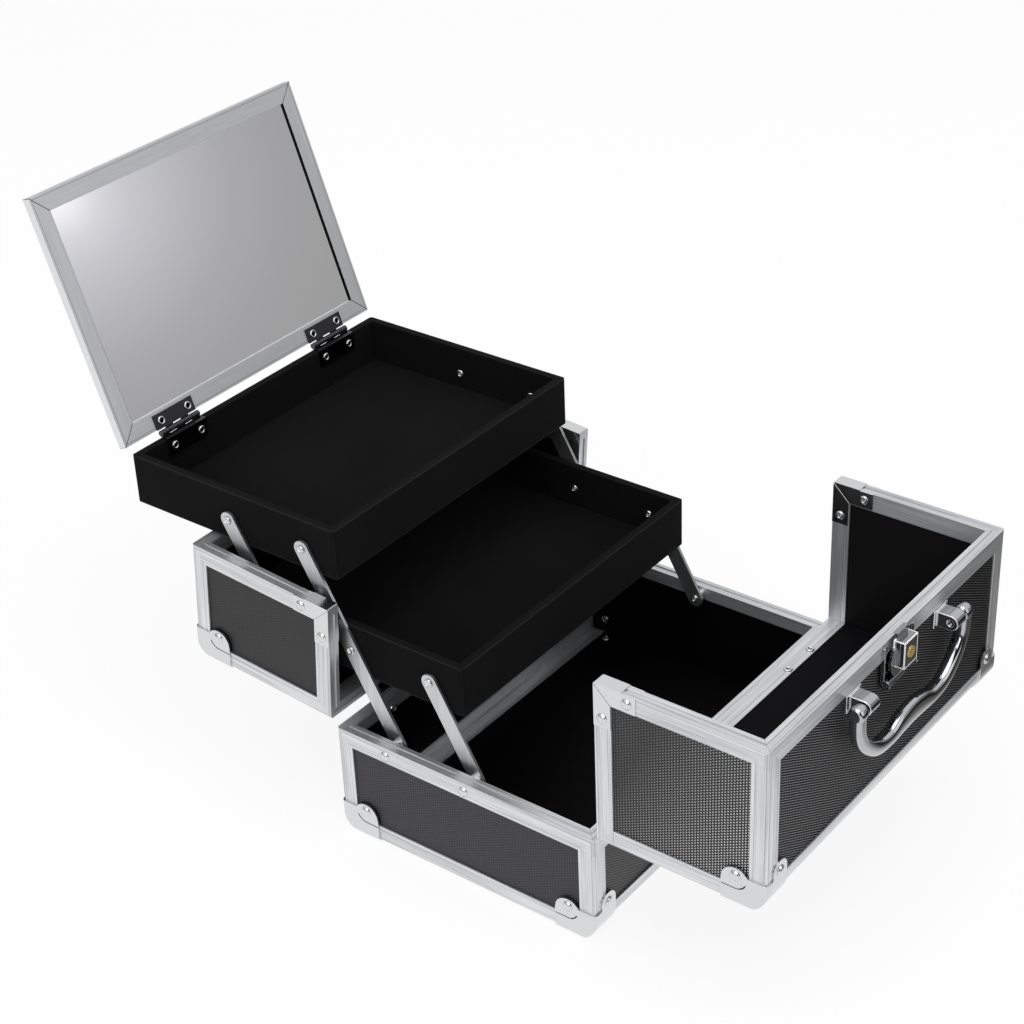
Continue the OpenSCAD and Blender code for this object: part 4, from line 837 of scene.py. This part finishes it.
def makeWorld():
    world = bpy.data.worlds.new("studio")
    world.use_nodes = True
    bpy.context.scene.world = world
    tree = world.node_tree
    tree.nodes.clear()
    rays = addNode(tree, "ShaderNodeLightPath").outputs
    direction = addNode(tree, "ShaderNodeTexCoord").outputs["Generated"]
    height = addNode(tree, "ShaderNodeSeparateXYZ", None, {0: direction}).outputs[2]
    bands = colourRamp(tree, maths(tree, "MULTIPLY_ADD", height, 0.5, 0.5), heightStops)
    towards = addNode(tree, "ShaderNodeVectorMath", {"operation": "DOT_PRODUCT", 1: worldLight["opening"]},
                      {0: direction})
    opening = colourRamp(tree, towards.outputs["Value"], openingStops)
    tent = addNode(tree, "ShaderNodeVectorMath", {"operation": "MULTIPLY"}, {0: bands, 1: opening}).outputs[0]
    away = addNode(tree, "ShaderNodeVectorMath", {"operation": "DISTANCE", 1: worldLight["lamp"]}, {0: direction})
    lamp = colourRamp(tree, away.outputs["Value"], lampStops)
    far, close = worldLight["lampEdge"]
    near = addNode(tree, "ShaderNodeMapRange", {"From Min": far, "From Max": close}, {"Value": away.outputs["Value"]})
    shinyColour = mixed(tree, near.outputs[0], tent, lamp)
    lit = addNode(tree, "ShaderNodeBackground", {"Color": linear(worldLight["diffuse"]),
                                                 "Strength": worldLight["strength"]})
    seen = addNode(tree, "ShaderNodeBackground", {"Color": (1, 1, 1, 1), "Strength": 1.0})
    shiny = addNode(tree, "ShaderNodeBackground", {"Strength": 1.0}, {"Color": shinyColour})
    glossy = addNode(tree, "ShaderNodeMixShader", None,
                     {0: rays["Is Glossy Ray"], 1: lit.outputs[0], 2: shiny.outputs[0]})
    plain = maths(tree, "MAXIMUM", rays["Is Camera Ray"], rays["Is Transmission Ray"])
    both = addNode(tree, "ShaderNodeMixShader", None, {0: plain, 1: glossy.outputs[0], 2: seen.outputs[0]})
    addNode(tree, "ShaderNodeOutputWorld", None, {"Surface": both.outputs[0]})


# Pale floor: white to the camera with the case's soft shadow kept; shiny metal sees it fall off to the dark
# room at the front right
paleFloor = {"colour": "#fbfbfb", "size": 6.0, "share": 0.88, "away": (0.79, -0.62, 0.0)}
roomStops = [(0.0, "#ffffff"), (0.19, "#f4f4f4"), (0.27, "#757370"), (0.42, "#333130"), (1.0, "#2a2826")]


def makeFloor():
    material, tree, shader = newMaterial("paleFloor", {"Roughness": 0.9, "Base Color": linear(paleFloor["colour"])})
    rays = addNode(tree, "ShaderNodeLightPath").outputs
    place = addNode(tree, "ShaderNodeTexCoord").outputs["Object"]
    far = addNode(tree, "ShaderNodeVectorMath", {"operation": "DOT_PRODUCT", 1: paleFloor["away"]}, {0: place})
    room = colourRamp(tree, far.outputs["Value"], roomStops)
    glow = addNode(tree, "ShaderNodeEmission", {"Color": (1, 1, 1, 1), "Strength": 1.0})
    falling = addNode(tree, "ShaderNodeEmission", {"Strength": 1.0}, {"Color": room})
    share = maths(tree, "MULTIPLY", rays["Is Camera Ray"], paleFloor["share"])
    plain = addNode(tree, "ShaderNodeMixShader", None, {0: share, 1: shader.outputs[0], 2: glow.outputs[0]})
    blend = addNode(tree, "ShaderNodeMixShader", None,
                    {0: rays["Is Glossy Ray"], 1: plain.outputs[0], 2: falling.outputs[0]})
    tree.links.new(blend.outputs[0], tree.nodes["Material Output"].inputs["Surface"])
    h = paleFloor["size"] / 2
    mesh = bpy.data.meshes.new("floor")
    mesh.from_pydata([(-h, -h, 0), (h, -h, 0), (h, h, 0), (-h, h, 0)], [], [(0, 1, 2, 3)])
    mesh.materials.append(material)
    floor = addObject("floor", mesh)


makeCamera()
makeLamps()
makeWorld()
makeFloor()
bpy.context.scene.view_settings.view_transform = "Standard"
print("studio ready")
